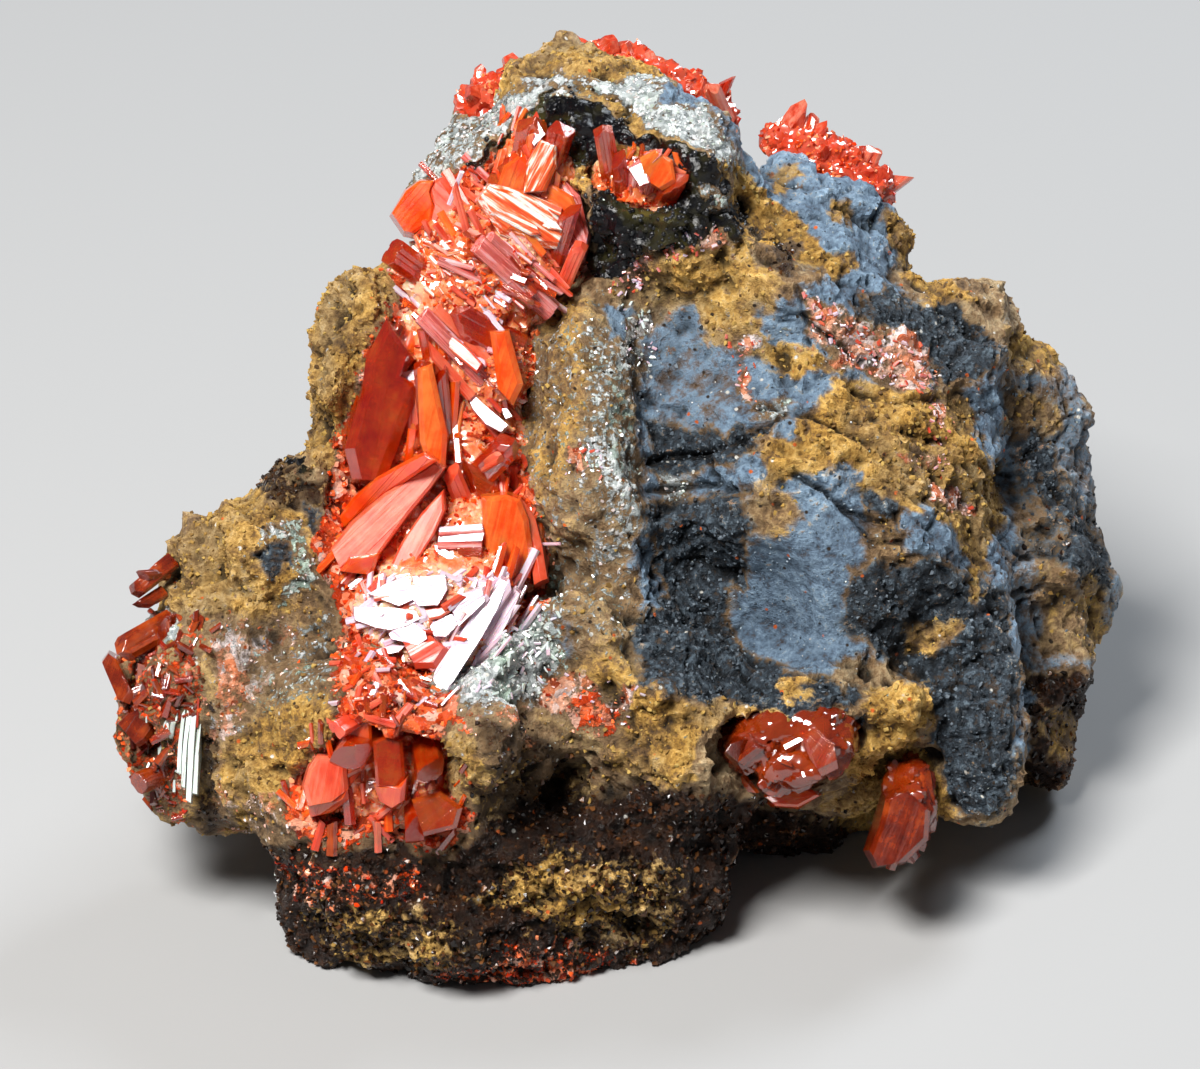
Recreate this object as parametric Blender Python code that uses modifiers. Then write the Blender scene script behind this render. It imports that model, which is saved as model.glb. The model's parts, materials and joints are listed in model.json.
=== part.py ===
"""A hand specimen of crocoite: a lump of iron and manganese gossan, cut by a seam of orange-red crystals.

Run with blender --background --python part.py, or from Blender's text editor. Units are metres, +Z is up.
The lump rests on a broken flat at z = 0, and the origin is a point of that flat.

The lump shows one face, which leans back from the upright. Every piece is placed on that leaning face by
three lengths in millimetres: across it to the right, up it, and proud of it towards the front.
"""

import random
from math import copysign, cos, pi, radians, sin, sqrt

import bmesh
import bpy
from mathutils import Matrix, Vector

MM = 0.001

# The leaning show face
LEAN = radians(30)
FACE_HEIGHT = 17.5  # of the middle of the face above the floor
FACE_TURN = Matrix.Rotation(-LEAN, 3, "X")

# The gap between a crystal and the rock that holds it, before the rock is faceted
GAP = 0.5

# How the rock is worked
BLOCKY = 0.75  # the power that squares a boulder: 1 leaves it round
CHISEL_CUTS = 22
SHALLOW_CUT, DEEP_CUT = 0.96, 0.74  # shares of a boulder's reach that a cut leaves
LUMP_VOXEL = 0.55
ROCK_SHARE = 0.078  # of the fused rock's faces that the faceted rock keeps
FLOOR_BLOCK = 90.0

# The subdivisions of the icospheres that boulders, hollows and lumps of crocoite start as
BOULDER_FINENESS = 4
HOLLOW_FINENESS = 3
MASS_FINENESS = 2

# How a row of small crystals strays: its roots, the way each points, and how deep each stands in its lump
ROW_JITTER = 0.35
ROW_SPREAD = 0.75
ROW_DEPTH = 0.5
ROW_FLATNESS = 0.8

# How a crystal is cut
CHAMFER = 0.28  # of a prism's narrower side
LEAST_CHAMFERED = 0.85  # the thickness under which a prism has four plain sides
RIDGES = 3  # along each broad side of a ridged crystal
RIDGE_DEPTH = 0.09

OCHRE = (0.42, 0.25, 0.07)
ROCK_ROUGHNESS = 0.85
CRYSTAL_ROUGHNESS = 0.2

# Boulders fused into the rock: name, middle (across, up, proud), half sizes along the same, turn, seed
BOULDERS = (
    ("heart", (3, 0, -9.5), (16.5, 14, 9.5), 0, 1),
    ("back", (3, 5, -17), (15, 10, 8), 10, 2),
    ("back_foot", (4, -8, -16), (14, 8, 11), 0, 3),
    ("summit", (-0.6, 16.4, -7), (8, 5.8, 7), 0, 4),
    ("peak", (-0.2, 19.2, -7.6), (4.8, 3.4, 5), 0, 34),
    ("neck", (-3.6, 12.5, -6), (5, 7.5, 5), 20, 31),
    ("shoulder", (9.4, 12.8, -8.5), (4.8, 5.0, 6.5), -30, 5),
    ("shoulder_edge", (14.6, 7.4, -9.5), (5.2, 5.2, 6), -40, 6),
    ("plate", (10, 2.2, -7), (9.4, 11.6, 8), -6, 7),
    ("plate_top", (7, 9, -5.5), (7, 5, 5.5), -38, 32),
    ("wall", (-0.8, 4, -2.2), (3.5, 8.4, 4), 6, 8),
    ("black_block", (2.8, 14.6, -3), (5.4, 4.9, 4.4), -20, 9),
    ("horn", (-10.6, 7.4, -3.2), (2.4, 6, 4), 12, 10),
    ("left_top", (-14.6, -0.9, -3.6), (6.6, 4.4, 5), 34, 11),
    ("left_low", (-16.9, -7.8, -3.6), (5.9, 6.6, 5.4), -12, 12),
    ("nose", (-8.6, -8.4, 0), (8.4, 6.8, 6.6), 4, 13),
    ("nose_root", (-9, -5, -4), (8, 8, 6), 0, 33),
    ("seam_floor", (-6.4, 4, -6.5), (6.4, 12, 5), 10, 14),
    ("ledge", (1.6, -7.6, -2), (7.4, 5, 6), -14, 15),
    ("ledge_right", (10.8, -8.8, -3.4), (6.2, 4.4, 5.8), 4, 16),
    ("right_foot", (15.8, -6.4, -6.5), (3.5, 7.8, 6), 8, 17),
    ("base", (-5, -16.6, -1.9), (9.2, 6.4, 5.6), 6, 18),
    ("base_right", (0.4, -15.6, -3.1), (5.2, 6, 6), -24, 19),
    ("ring_lump", (13.7, -7.3, 0.4), (1.8, 1.7, 1.6), 0, 24),
    ("wall_lump", (-0.6, -3.6, 2.6), (2.2, 1.7, 1.6), 20, 25),
    ("ledge_lump", (2.2, -6.6, 3.2), (1.9, 1.5, 1.3), 0, 26),
    ("nose_lump", (-4.8, -9.2, 5.8), (2.2, 1.8, 1.6), 10, 27),
    ("far_lobe", (17.4, -0.6, -14), (5, 9.6, 7), 6, 20),
    ("far_lobe_top", (19.0, 5.4, -13.5), (3.4, 3.8, 5), 0, 21),
    ("far_lobe_side", (21, 0, -13), (2.6, 5, 5), 10, 22),
    ("far_lobe_foot", (20.2, -8, -12.5), (2.8, 5.4, 4.6), 0, 23),
)

# Boulders cut out of it, given in the same way
HOLLOWS = (
    ("seam_top", (-3.2, 14.6, 1.4), (1.9, 4.2, 3.4), -12, 41),
    ("seam_bend", (-6, 11.2, 1.4), (2.6, 3.6, 3.8), 24, 42),
    ("seam_middle", (-7, 6.2, 0.6), (2.7, 5.4, 3.2), 10, 43),
    ("seam_low", (-7.2, 0.4, 1.8), (3.4, 3.8, 3.6), 0, 44),
    ("black_pocket", (1.2, 14, 3), (2.6, 2.9, 3), -20, 45),
    ("front_pocket", (-9.6, -10.6, 7.6), (3, 2.4, 2.6), 0, 46),
    ("under_lip", (-5.5, -15.6, 6.2), (9.5, 1.6, 4.8), -4, 47),
    ("under_ledge", (6.6, -14, 1.5), (3.6, 2.6, 5), 20, 48),
    ("lump_hole", (13.7, -7.3, 2.0), (0.8, 0.8, 1.3), 0, 51),
    ("left_nook", (-12.6, -3.6, 2.4), (1.2, 2.6, 2.2), -20, 49),
)

# Broken relief of the rock: name, texture, size of its lumps, height
RELIEF = (
    ("heaves", "CLOUDS", 7.0, 2.6),
    ("ledges", "VORONOI", 3.6, 1.7),
    ("grain", "CLOUDS", 1.6, 0.9),
)

# Crystals, each by its group, root and tip (across, up, proud), width, thickness, roll and the cut of its tip
CRYSTALS = (
    ("seam", (-10.3, 0.6, -1.6), (-9.4, 9.7, 0.8), 2.9, 1.5, 14, "slant"),
    ("seam", (-6.9, 3.6, -0.6), (-11.6, -1.3, 2.6), 2.2, 1.5, -24, "slant"),
    ("seam", (-7.2, 2.1, -0.8), (-9.5, -1.9, 2.0), 1.1, 0.9, 20, "slant"),
    ("seam", (-3.4, -2.6, -0.8), (-4.4, 1.7, 1.7), 2.6, 2.0, 10, "chisel"),
    ("seam", (-5.3, -0.3, 0.6), (-7.3, -0.1, 1.5), 1.1, 0.8, 0, "ridged"),
    ("seam", (-6.1, -1.1, 1.0), (-7.6, -0.5, 2.0), 0.5, 0.4, 0, "flat"),
    ("seam", (-2.2, 10.1, -1.4), (-5.6, 13.0, 0.4), 1.1, 0.8, 8, "ridged"),
    ("seam", (-2.7, 11.0, -1.6), (-5.1, 13.3, -0.2), 0.8, 0.8, 0, "ridged"),
    ("seam", (-5.2, 12.9, -2.4), (-9.1, 14.8, 0.0), 2.3, 1.9, 20, "chisel"),
    ("seam", (-0.8, 12.2, -2.2), (-4.0, 15.6, 0.2), 2.5, 1.6, -16, "ridged"),
    ("seam", (-3.6, 15.4, -2.8), (-2.9, 18.9, -1.0), 1.3, 1.1, 0, "chisel"),
    ("seam", (-4.6, 15.0, -2.8), (-4.4, 17.2, -1.0), 1.2, 1.0, 20, "slant"),
    ("seam", (-2.4, 16.2, -2.6), (-1.7, 18.3, -0.6), 1.2, 1.0, -20, "flat"),
    ("seam", (-4.2, 7.0, -1.0), (-7.7, 10.0, 0.6), 1.1, 0.8, 10, "ridged"),
    ("seam", (-4.1, 4.7, -0.2), (-6.4, 6.8, 1.3), 0.6, 0.5, 0, "ridged"),
    ("seam", (-3.9, 4.4, -1.4), (-7.2, 8.4, 0.5), 1.6, 1.0, 14, "slant"),
    ("seam", (-4.3, 6.0, -1.6), (-4.4, 9.3, 0.7), 1.6, 1.1, -10, "slant"),
    ("seam", (-7.6, 3.6, -1.2), (-7.6, 8.3, 0.5), 1.0, 0.9, 0, "chisel"),
    ("seam", (-7.0, 3.4, -1.4), (-6.9, 7.2, 0.1), 0.9, 0.8, 10, "slant"),
    ("seam", (-8.4, 3.8, -1.6), (-8.2, 7.2, -0.1), 0.9, 0.8, -10, "chisel"),
    ("seam", (-4.3, 1.6, -1.8), (-6.5, 2.9, 0.3), 1.2, 1.0, -8, "slant"),
    ("seam", (-6.7, 1.5, -1.6), (-3.8, 4.3, 0.3), 1.3, 1.0, 10, "chisel"),
    ("seam", (-5.8, 0.6, -1.6), (-6.8, 3.1, 0.5), 1.1, 0.9, 0, "slant"),
    ("seam", (-3.8, 8.3, -1.8), (-6.8, 9.9, 0.2), 1.6, 1.2, 10, "chisel"),
    ("seam", (-7.2, 11.2, -2.4), (-9.4, 12.8, -0.6), 1.3, 1.1, 0, "flat"),
    ("seam", (-5.8, -2.9, 1.2), (-10.2, -2.4, 2.9), 1.5, 1.1, 50, "flat"),
    ("seam", (-7.4, -5.0, 3.4), (-11.1, -3.4, 4.2), 1.6, 1.2, 50, "slant"),
    ("seam", (-5.4, -4.8, 3.4), (-9.0, -4.8, 5.4), 1.7, 1.2, 46, "flat"),
    ("seam", (-4.8, -3.8, 1.8), (-7.4, -3.3, 3.9), 1.7, 1.2, 50, "slant"),
    ("seam", (-4.6, -2.4, 1.2), (-8.0, -7.6, 6.9), 1.4, 1.0, 16, "ridged"),
    ("front", (-11.4, -11.2, 2.6), (-12.7, -11.6, 6.2), 2.0, 1.6, 20, "flat"),
    ("front", (-9.2, -9.0, 4.0), (-9.6, -11.9, 7.0), 1.8, 1.5, 0, "chisel"),
    ("front", (-10.2, -8.6, 4.0), (-11.3, -10.2, 7.0), 1.3, 1.2, 10, "slant"),
    ("front", (-7.8, -9.2, 3.6), (-7.4, -10.8, 6.9), 1.3, 1.1, -20, "slant"),
    ("front", (-8.0, -11.4, 2.6), (-7.8, -13.6, 6.0), 1.9, 1.6, 0, "slant"),
    ("left", (-19.0, -7.0, -2.2), (-22.4, -5.2, -1.0), 1.6, 1.2, 0, "chisel"),
    ("left", (-19.2, -7.6, -2.0), (-22.0, -7.0, -0.6), 1.2, 1.0, 20, "slant"),
    ("left", (-18.8, -8.4, -2.0), (-21.6, -9.4, 0.2), 1.4, 1.2, 0, "slant"),
    ("left", (-19.0, -6.4, -2.4), (-20.4, -3.4, -0.8), 1.2, 1.0, 20, "slant"),
    ("left_blade", (-18.7, -12.0, -0.3), (-18.3, -6.0, 2.4), 1.2, 0.9, 0, "ridged"),
    ("left_tip", (-19.4, -1.2, -2.4), (-21.3, -2.9, -1.2), 0.8, 0.7, 0, "chisel"),
    ("red_knob", (9.0, -8.4, -1.4), (8.4, -11.8, 3.4), 3.6, 2.6, 10, "chisel"),
    ("red_knob", (10.0, -8.4, -1.2), (10.9, -10.6, 3.0), 1.7, 1.4, 0, "slant"),
    ("red_knob", (7.2, -8.4, -1.2), (6.2, -10.2, 3.2), 2.0, 1.6, 0, "flat"),
    ("drip", (13.9, -10.6, -1.8), (12.8, -15.0, 0.6), 2.3, 1.7, -10, "chisel"),
    ("drip", (14.2, -10.8, -1.8), (14.4, -14.0, 0.2), 1.4, 1.2, 0, "slant"),
    ("black", (0.6, 15.6, -1.4), (0.1, 18.4, 0.7), 1.0, 0.9, 0, "chisel"),
    ("black", (1.6, 14.8, -1.4), (2.2, 17.6, 1.2), 1.4, 1.0, 0, "ridged"),
    ("black", (2.6, 14.6, -1.4), (3.4, 16.4, 1.4), 1.0, 0.9, 20, "slant"),
)

# Rows of small crystals: group, ends of the row, way they point, how many, length, width, seed
ROWS = (
    ("summit", (-0.6, 22.2, -8.4), (5.6, 19.4, -8.4), (0.3, 1.0, 0.1), 10, 2.2, 1.3, 61),
    ("summit_left", (-5.6, 20.2, -7.6), (-3.2, 21.5, -8), (-0.4, 1.0, 0.2), 3, 1.8, 1.0, 62),
    ("shoulder", (8.2, 18.6, -9.8), (13.0, 15.8, -10.2), (0.4, 1.0, 0.1), 9, 2.2, 1.3, 63),
)

# Lumps of massive crocoite that the crystals stand in: group, middle, half sizes, turn, seed
MASSES = (
    ("seam", (-3.1, 15.4, -2.8), (1.7, 3.2, 1.6), -8, 71),
    ("seam", (-5.2, 11.8, -2.6), (3.4, 2.9, 2.2), 30, 72),
    ("seam", (-6.2, 8.0, -2.6), (3.0, 3.2, 2.1), 16, 73),
    ("seam", (-6.8, 3.8, -2.8), (3.3, 3.6, 1.9), 0, 74),
    ("seam", (-6.6, -0.6, -1.8), (4.0, 2.6, 2.1), 0, 75),
    ("seam", (-6.8, -2.6, 0.0), (3.2, 2.0, 1.9), 0, 85),
    ("seam", (-7.4, -3.8, 1.4), (3.4, 2.2, 2.0), -10, 76),
    ("front", (-9.4, -10.4, 2.4), (3.0, 2.4, 1.7), -8, 77),
    ("left", (-19.4, -7.2, -2.6), (1.5, 2.4, 1.4), 0, 78),
    ("red_knob", (8.6, -8.6, -1.6), (2.6, 1.4, 1.8), 0, 79),
    ("drip", (14.0, -11.2, -1.6), (1.2, 1.4, 1.2), 0, 80),
    ("black", (1.7, 15.4, -1.4), (1.9, 1.3, 1.0), -20, 81),
    ("summit", (2.4, 20.7, -8.7), (4.2, 1.1, 1.3), -24, 82),
    ("summit_left", (-4.6, 20.2, -8), (1.8, 1.0, 1.2), 24, 83),
    ("shoulder", (10.6, 17.1, -10.3), (3.2, 1.1, 1.3), -30, 84),
)

# Each group's node and colour
GROUPS = {
    "seam": ("seam_crystals", (0.72, 0.09, 0.015)),
    "front": ("front_pocket_crystals", (0.72, 0.13, 0.03)),
    "left": ("left_edge_crystals", (0.4, 0.02, 0.008)),
    "left_blade": ("left_blade_crystal", (0.55, 0.2, 0.12)),
    "left_tip": ("left_tip_crystal", (0.5, 0.05, 0.01)),
    "red_knob": ("red_knob_crystals", (0.45, 0.03, 0.008)),
    "drip": ("hanging_crystals", (0.22, 0.02, 0.006)),
    "black": ("black_pocket_crystals", (0.75, 0.12, 0.03)),
    "summit": ("summit_rim_crystals", (0.7, 0.14, 0.07)),
    "summit_left": ("summit_left_crystals", (0.5, 0.1, 0.06)),
    "shoulder": ("shoulder_rim_crystals", (0.6, 0.1, 0.06)),
}


def on_face(point):
    """A point of the leaning show face, in world millimetres."""
    across, up, proud = point
    return Vector((0, 0, FACE_HEIGHT)) + FACE_TURN @ Vector((across, -proud, up))


def new_object(name, work, collection, helper=False):
    """Makes an object of the bmesh, which is in millimetres, and frees the bmesh."""
    bmesh.ops.scale(work, vec=(MM, MM, MM), verts=work.verts)
    mesh = bpy.data.meshes.new(name)
    work.to_mesh(mesh)
    work.free()
    obj = bpy.data.objects.new(name, mesh)
    collection.objects.link(obj)
    if helper:
        obj.hide_render = True
        obj.display_type = "WIRE"
    return obj


def new_collection(name):
    collection = bpy.data.collections.new(name)
    bpy.context.scene.collection.children.link(collection)
    return collection


def settle(obj):
    """Gives the object the mesh that its modifiers make, and drops them."""
    bpy.context.view_layer.update()
    made = bpy.data.meshes.new_from_object(obj.evaluated_get(bpy.context.evaluated_depsgraph_get()))
    obj.modifiers.clear()
    obj.data = made


def random_direction(dice):
    z = dice.uniform(-1, 1)
    turn = dice.uniform(-pi, pi)
    flat = sqrt(1 - z * z)
    return Vector((flat * cos(turn), flat * sin(turn), z))


def hull_of(work, points):
    """Leaves the convex solid round some of a bmesh's points, and its corners."""
    bmesh.ops.delete(work, geom=list({edge for v in points for edge in v.link_edges}), context="EDGES_FACES")
    hull = bmesh.ops.convex_hull(work, input=points)
    inside = {item for item in hull["geom_interior"] + hull["geom_unused"] if isinstance(item, bmesh.types.BMVert)}
    bmesh.ops.delete(work, geom=list(inside), context="VERTS")
    return [v for v in points if v.is_valid]


def boulder(work, middle, half, turn, seed, fineness=BOULDER_FINENESS, grow=0.0):
    """Adds an ellipsoid that is squared a little and chiselled flat by planes in seeded directions."""
    dice = random.Random(seed)
    made = bmesh.ops.create_icosphere(work, subdivisions=fineness, radius=1)["verts"]
    half = Vector((half[0] + grow, half[2] + grow, half[1] + grow))
    for v in made:
        v.co = Vector([copysign(abs(v.co[i]) ** BLOCKY, v.co[i]) * half[i] for i in range(3)])
    for _ in range(CHISEL_CUTS):
        normal = random_direction(dice)
        reach = sqrt(sum((half[i] * normal[i]) ** 2 for i in range(3)))
        depth = reach * dice.uniform(DEEP_CUT, SHALLOW_CUT)
        for v in made:
            over = v.co.dot(normal) - depth
            if over > 0:
                v.co -= over * normal
    made = hull_of(work, made)
    turned = FACE_TURN @ Matrix.Rotation(radians(-turn), 3, "Y")
    place = Matrix.Translation(on_face(middle)) @ turned.to_4x4()
    bmesh.ops.transform(work, matrix=place, verts=made)


def prism_section(width, thickness, ridged):
    """The corners of a chamfered rectangle, whose broad sides may be stepped into ridges, or of a plain one."""
    x, y = width / 2, thickness / 2
    if thickness < LEAST_CHAMFERED:
        return [(x, y), (-x, y), (-x, -y), (x, -y)]
    cut = 2 * CHAMFER * min(x, y)
    corners = [(x, y - cut), (x - cut, y)]
    if ridged:
        pitch = 2 * (x - cut) / RIDGES
        for ridge in range(RIDGES):
            groove = x - cut - (ridge + 0.5) * pitch
            corners += [(groove + 0.2 * pitch, y - RIDGE_DEPTH), (groove - 0.2 * pitch, y)]
    corners += [(-(x - cut), y), (-x, y - cut)]
    return corners + [(-a, -b) for a, b in corners]


def cut_off(work, point, normal):
    """Cuts away what lies beyond a plane, and closes the cut."""
    geometry = work.verts[:] + work.edges[:] + work.faces[:]
    cut = bmesh.ops.bisect_plane(work, geom=geometry, plane_co=point, plane_no=normal, clear_outer=True)
    rim = [item for item in cut["geom_cut"] if isinstance(item, bmesh.types.BMEdge)]
    bmesh.ops.contextual_create(work, geom=rim)


def crystal(root, tip, width, thickness, roll, end, grow=0.0):
    """A prism from root to tip, with a chamfered section and a cut tip, or the plain box of its socket."""
    root, tip = on_face(root), on_face(tip)
    along = (tip - root).normalized()
    front = FACE_TURN @ Vector((0, -1, 0))
    side = Matrix.Rotation(radians(roll), 3, along) @ front.cross(along).normalized()
    towards = along.cross(side)
    length = (tip - root).length
    work = bmesh.new()
    if grow:
        x, y = width / 2 + grow, thickness / 2 + grow
        section = [(x, y), (-x, y), (-x, -y), (x, -y)]
    else:
        section = prism_section(width, thickness, end == "ridged")
    ring = [work.verts.new((x, y, -grow)) for x, y in section]
    bottom = work.faces.new(ring)
    top = bmesh.ops.extrude_face_region(work, geom=[bottom])["geom"]
    raised = [item for item in top if isinstance(item, bmesh.types.BMVert)]
    bmesh.ops.translate(work, vec=(0, 0, length + 2 * grow), verts=raised)
    bmesh.ops.recalc_face_normals(work, faces=work.faces)
    if not grow:
        for point, normal in tip_planes(width, length, end):
            cut_off(work, point, Vector(normal).normalized())
    bmesh.ops.recalc_face_normals(work, faces=work.faces)
    turn = Matrix((side, towards, along)).transposed().to_4x4()
    bmesh.ops.transform(work, matrix=Matrix.Translation(root) @ turn, verts=work.verts)
    return work


def tip_planes(width, length, end):
    """Planes that cut a prism's tip, by a point and a normal, in the prism's own frame."""
    if end == "slant":
        return [((-width / 2, 0, length), (0.75, 0.25, 0.62))]
    if end == "chisel":
        return [
            ((0, 0, length), (0.7, 0.3, 0.72)),
            ((0, 0, length), (-0.7, 0.2, 0.72)),
        ]
    return [((0, 0, length), (0.12, 0.16, 1))]


def row_of_crystals(start, stop, way, count, length, width, seed):
    """Small crystals along a row, leaning every way about one, as crystal() takes them."""
    dice = random.Random(seed)
    start, stop, way = Vector(start), Vector(stop), Vector(way)
    found = []
    for i in range(count):
        root = start.lerp(stop, (i + 0.5) / count) + ROW_JITTER * random_direction(dice)
        lean = (way.normalized() + ROW_SPREAD * random_direction(dice)).normalized()
        tip = root + length * dice.uniform(0.6, 1.0) * lean
        broad = width * dice.uniform(0.7, 1.2)
        end = dice.choice(("slant", "chisel", "flat"))
        roll = dice.uniform(-60, 60)
        found.append((root - ROW_DEPTH * lean, tip, broad, ROW_FLATNESS * broad, roll, end))
    return found


def crystals_of(group):
    found = [row[1:] for row in CRYSTALS if row[0] == group]
    for row in ROWS:
        if row[0] == group:
            found += row_of_crystals(*row[1:])
    return found


def bits_of(group, collection, grow=0.0):
    """The lumps and crystals of one group, as separate objects."""
    bits = []
    for _, middle, half, turn, seed in [mass for mass in MASSES if mass[0] == group]:
        work = bmesh.new()
        boulder(work, middle, half, turn, seed, MASS_FINENESS, grow)
        bits.append(new_object(f"{group}_bit", work, collection, helper=True))
    for shape in crystals_of(group):
        bits.append(new_object(f"{group}_bit", crystal(*shape, grow=grow), collection, helper=True))
    return bits


def boolean(obj, operation, collection=None, other=None):
    """Adds a Boolean with one object, or with all of a collection's."""
    modifier = obj.modifiers.new(operation.lower(), "BOOLEAN")
    modifier.operation = operation
    modifier.solver = "EXACT"
    if collection:
        modifier.operand_type = "COLLECTION"
        modifier.collection = collection
    else:
        modifier.object = other


def joined_crystals(group, part):
    """One solid of all the crystals and lumps of a group."""
    name, colour = GROUPS[group]
    tools = new_collection(f"{group}_tools")
    bits = bits_of(group, tools)
    first = bits.pop(0)
    node = bpy.data.objects.new(name, first.data)
    part.objects.link(node)
    tools.objects.unlink(first)
    for bit in bits:
        boolean(node, "UNION", other=bit)
    settle(node)
    for bit in bits:
        bpy.data.objects.remove(bit)
    node.data.materials.clear()
    node.data.materials.append(material(name, colour, CRYSTAL_ROUGHNESS))


def material(name, colour, roughness):
    made = bpy.data.materials.new(name)
    made.use_nodes = True
    shader = made.node_tree.nodes["Principled BSDF"]
    shader.inputs["Base Color"].default_value = (*colour, 1)
    shader.inputs["Roughness"].default_value = roughness
    shader.inputs["Metallic"].default_value = 0
    return made


def fused_rock(part, sockets):
    """The boulders fused, hollowed, roughened, cut for the crystals and faceted."""
    work = bmesh.new()
    for _, middle, half, turn, seed in BOULDERS:
        boulder(work, middle, half, turn, seed)
    rock = new_object("gossan_matrix", work, part)
    hollows = new_collection("hollows")
    for name, middle, half, turn, seed in HOLLOWS:
        work = bmesh.new()
        boulder(work, middle, half, turn, seed, HOLLOW_FINENESS)
        new_object(name, work, hollows, helper=True)
    voxels(rock, "fuse")
    boolean(rock, "DIFFERENCE", collection=hollows)
    for name, kind, size, height in RELIEF:
        texture = bpy.data.textures.new(name, kind)
        texture.noise_scale = size * MM
        displace = rock.modifiers.new(name, "DISPLACE")
        displace.texture = texture
        displace.texture_coords = "LOCAL"
        displace.strength = height * MM
    voxels(rock, "close")
    boolean(rock, "DIFFERENCE", collection=sockets)
    voxels(rock, "mend")
    fewer = rock.modifiers.new("facet", "DECIMATE")
    fewer.ratio = ROCK_SHARE
    settle(rock)
    drop_crumbs(rock)
    return rock


def drop_crumbs(obj):
    """Leaves only the largest of the pieces that a cut may have parted a mesh into."""
    work = bmesh.new()
    work.from_mesh(obj.data)
    left = set(work.verts)
    largest = set()
    while left:
        found = set()
        reached = [left.pop()]
        while reached:
            v = reached.pop()
            found.add(v)
            near = {edge.other_vert(v) for edge in v.link_edges} & left
            left -= near
            reached += near
        largest = max(largest, found, key=len)
    crumbs = [v for v in work.verts if v not in largest]
    bmesh.ops.delete(work, geom=crumbs, context="VERTS")
    work.to_mesh(obj.data)
    work.free()


def voxels(obj, name):
    modifier = obj.modifiers.new(name, "REMESH")
    modifier.mode = "VOXEL"
    modifier.voxel_size = LUMP_VOXEL * MM


def floor_block():
    """The block under the rock that cuts it flat."""
    work = bmesh.new()
    bmesh.ops.create_cube(work, size=FLOOR_BLOCK)
    bmesh.ops.translate(work, vec=(0, 0, -FLOOR_BLOCK / 2), verts=work.verts)
    return new_object("floor_cut", work, new_collection("floor"), helper=True)


def main():
    for obj in list(bpy.data.objects):
        bpy.data.objects.remove(obj)
    part = new_collection("crocoite")
    sockets = new_collection("sockets")
    for group in GROUPS:
        joined_crystals(group, part)
        bits_of(group, sockets, grow=GAP)
    rock = fused_rock(part, sockets)
    rock.data.materials.append(material("gossan", OCHRE, ROCK_ROUGHNESS))
    boolean(rock, "DIFFERENCE", other=floor_block())


if __name__ == "__main__":
    main()
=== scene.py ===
import json
import random
from math import cos, pi, radians, sin, sqrt

import bmesh
import bpy
import numpy as np
from mathutils import Matrix, Vector, noise
from mathutils.bvhtree import BVHTree

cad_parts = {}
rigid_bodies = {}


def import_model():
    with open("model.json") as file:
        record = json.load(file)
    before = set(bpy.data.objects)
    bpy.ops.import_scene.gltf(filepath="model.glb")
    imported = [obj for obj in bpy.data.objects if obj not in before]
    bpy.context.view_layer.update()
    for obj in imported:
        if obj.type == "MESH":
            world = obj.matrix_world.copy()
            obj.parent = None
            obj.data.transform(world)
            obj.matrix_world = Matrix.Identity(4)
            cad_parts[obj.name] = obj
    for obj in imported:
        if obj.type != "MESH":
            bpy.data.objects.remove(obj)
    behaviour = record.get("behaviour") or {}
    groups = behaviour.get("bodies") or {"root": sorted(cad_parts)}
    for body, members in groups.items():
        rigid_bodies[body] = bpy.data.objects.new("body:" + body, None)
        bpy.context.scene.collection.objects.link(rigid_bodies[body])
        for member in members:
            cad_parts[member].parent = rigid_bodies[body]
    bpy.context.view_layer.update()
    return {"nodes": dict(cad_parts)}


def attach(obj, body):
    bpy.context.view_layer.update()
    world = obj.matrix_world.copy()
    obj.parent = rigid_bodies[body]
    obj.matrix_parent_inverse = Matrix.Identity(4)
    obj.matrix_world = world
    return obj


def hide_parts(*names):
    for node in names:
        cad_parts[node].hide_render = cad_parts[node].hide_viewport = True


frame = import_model()

# A crocoite specimen: a lump of gossan, dressed with its iron and manganese crusts, and the seam of
# orange-red crystals that cuts it. Modelling is in millimetres, and a finished mesh is scaled to metres.
# Places are given on the lump's leaning show face by lengths across it, up it and proud of it.
MM = 0.001

# The leaning show face, as the solids have it
LEAN = radians(30)
FACE_HEIGHT = 17.5
FACE_TURN = Matrix.Rotation(-LEAN, 3, "X")
FACE_OUT = FACE_TURN @ Vector((0, -1, 0))  # straight out of the face

# The camera looks square on to the show face from EYE millimetres, and a pixel is PIXEL millimetres of it
FRAME_WIDTH, FRAME_HEIGHT = 1200, 1069
PIXEL = 0.045
EYE = 300.0
SENSOR = 36.0

# The rock's skin
SKIN_VOXEL = 0.22
SKIN_ROUNDS = 8
SKIN_FACES = 190000
MELT_SHARE = 0.5
SEEN_SHARE = 3.0  # how much denser the skin stays where the camera sees it
SEEN_LEVELS = 4
FLOOR_CLEAR = 0.02
RAGGED = ((2.4, 13.0), (0.9, 10.0), (0.4, 7.0))  # mm of size and pixels of reach of what frays a coat
SHARP = radians(32)
LEDGE = 1.9  # mm from ledge to ledge
MILD_TURN, FULL_TURN = -0.5, -0.1  # facings, away from and towards the camera, between which a coat starts

# What coats the rock, in the order that attributes keep. Umber and soot also serve as painted shade, on the
# foot and on the far lobe.
COATS = ("ochre", "slate", "soot", "pitch", "crocoite", "silver", "umber", "blush")

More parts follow.
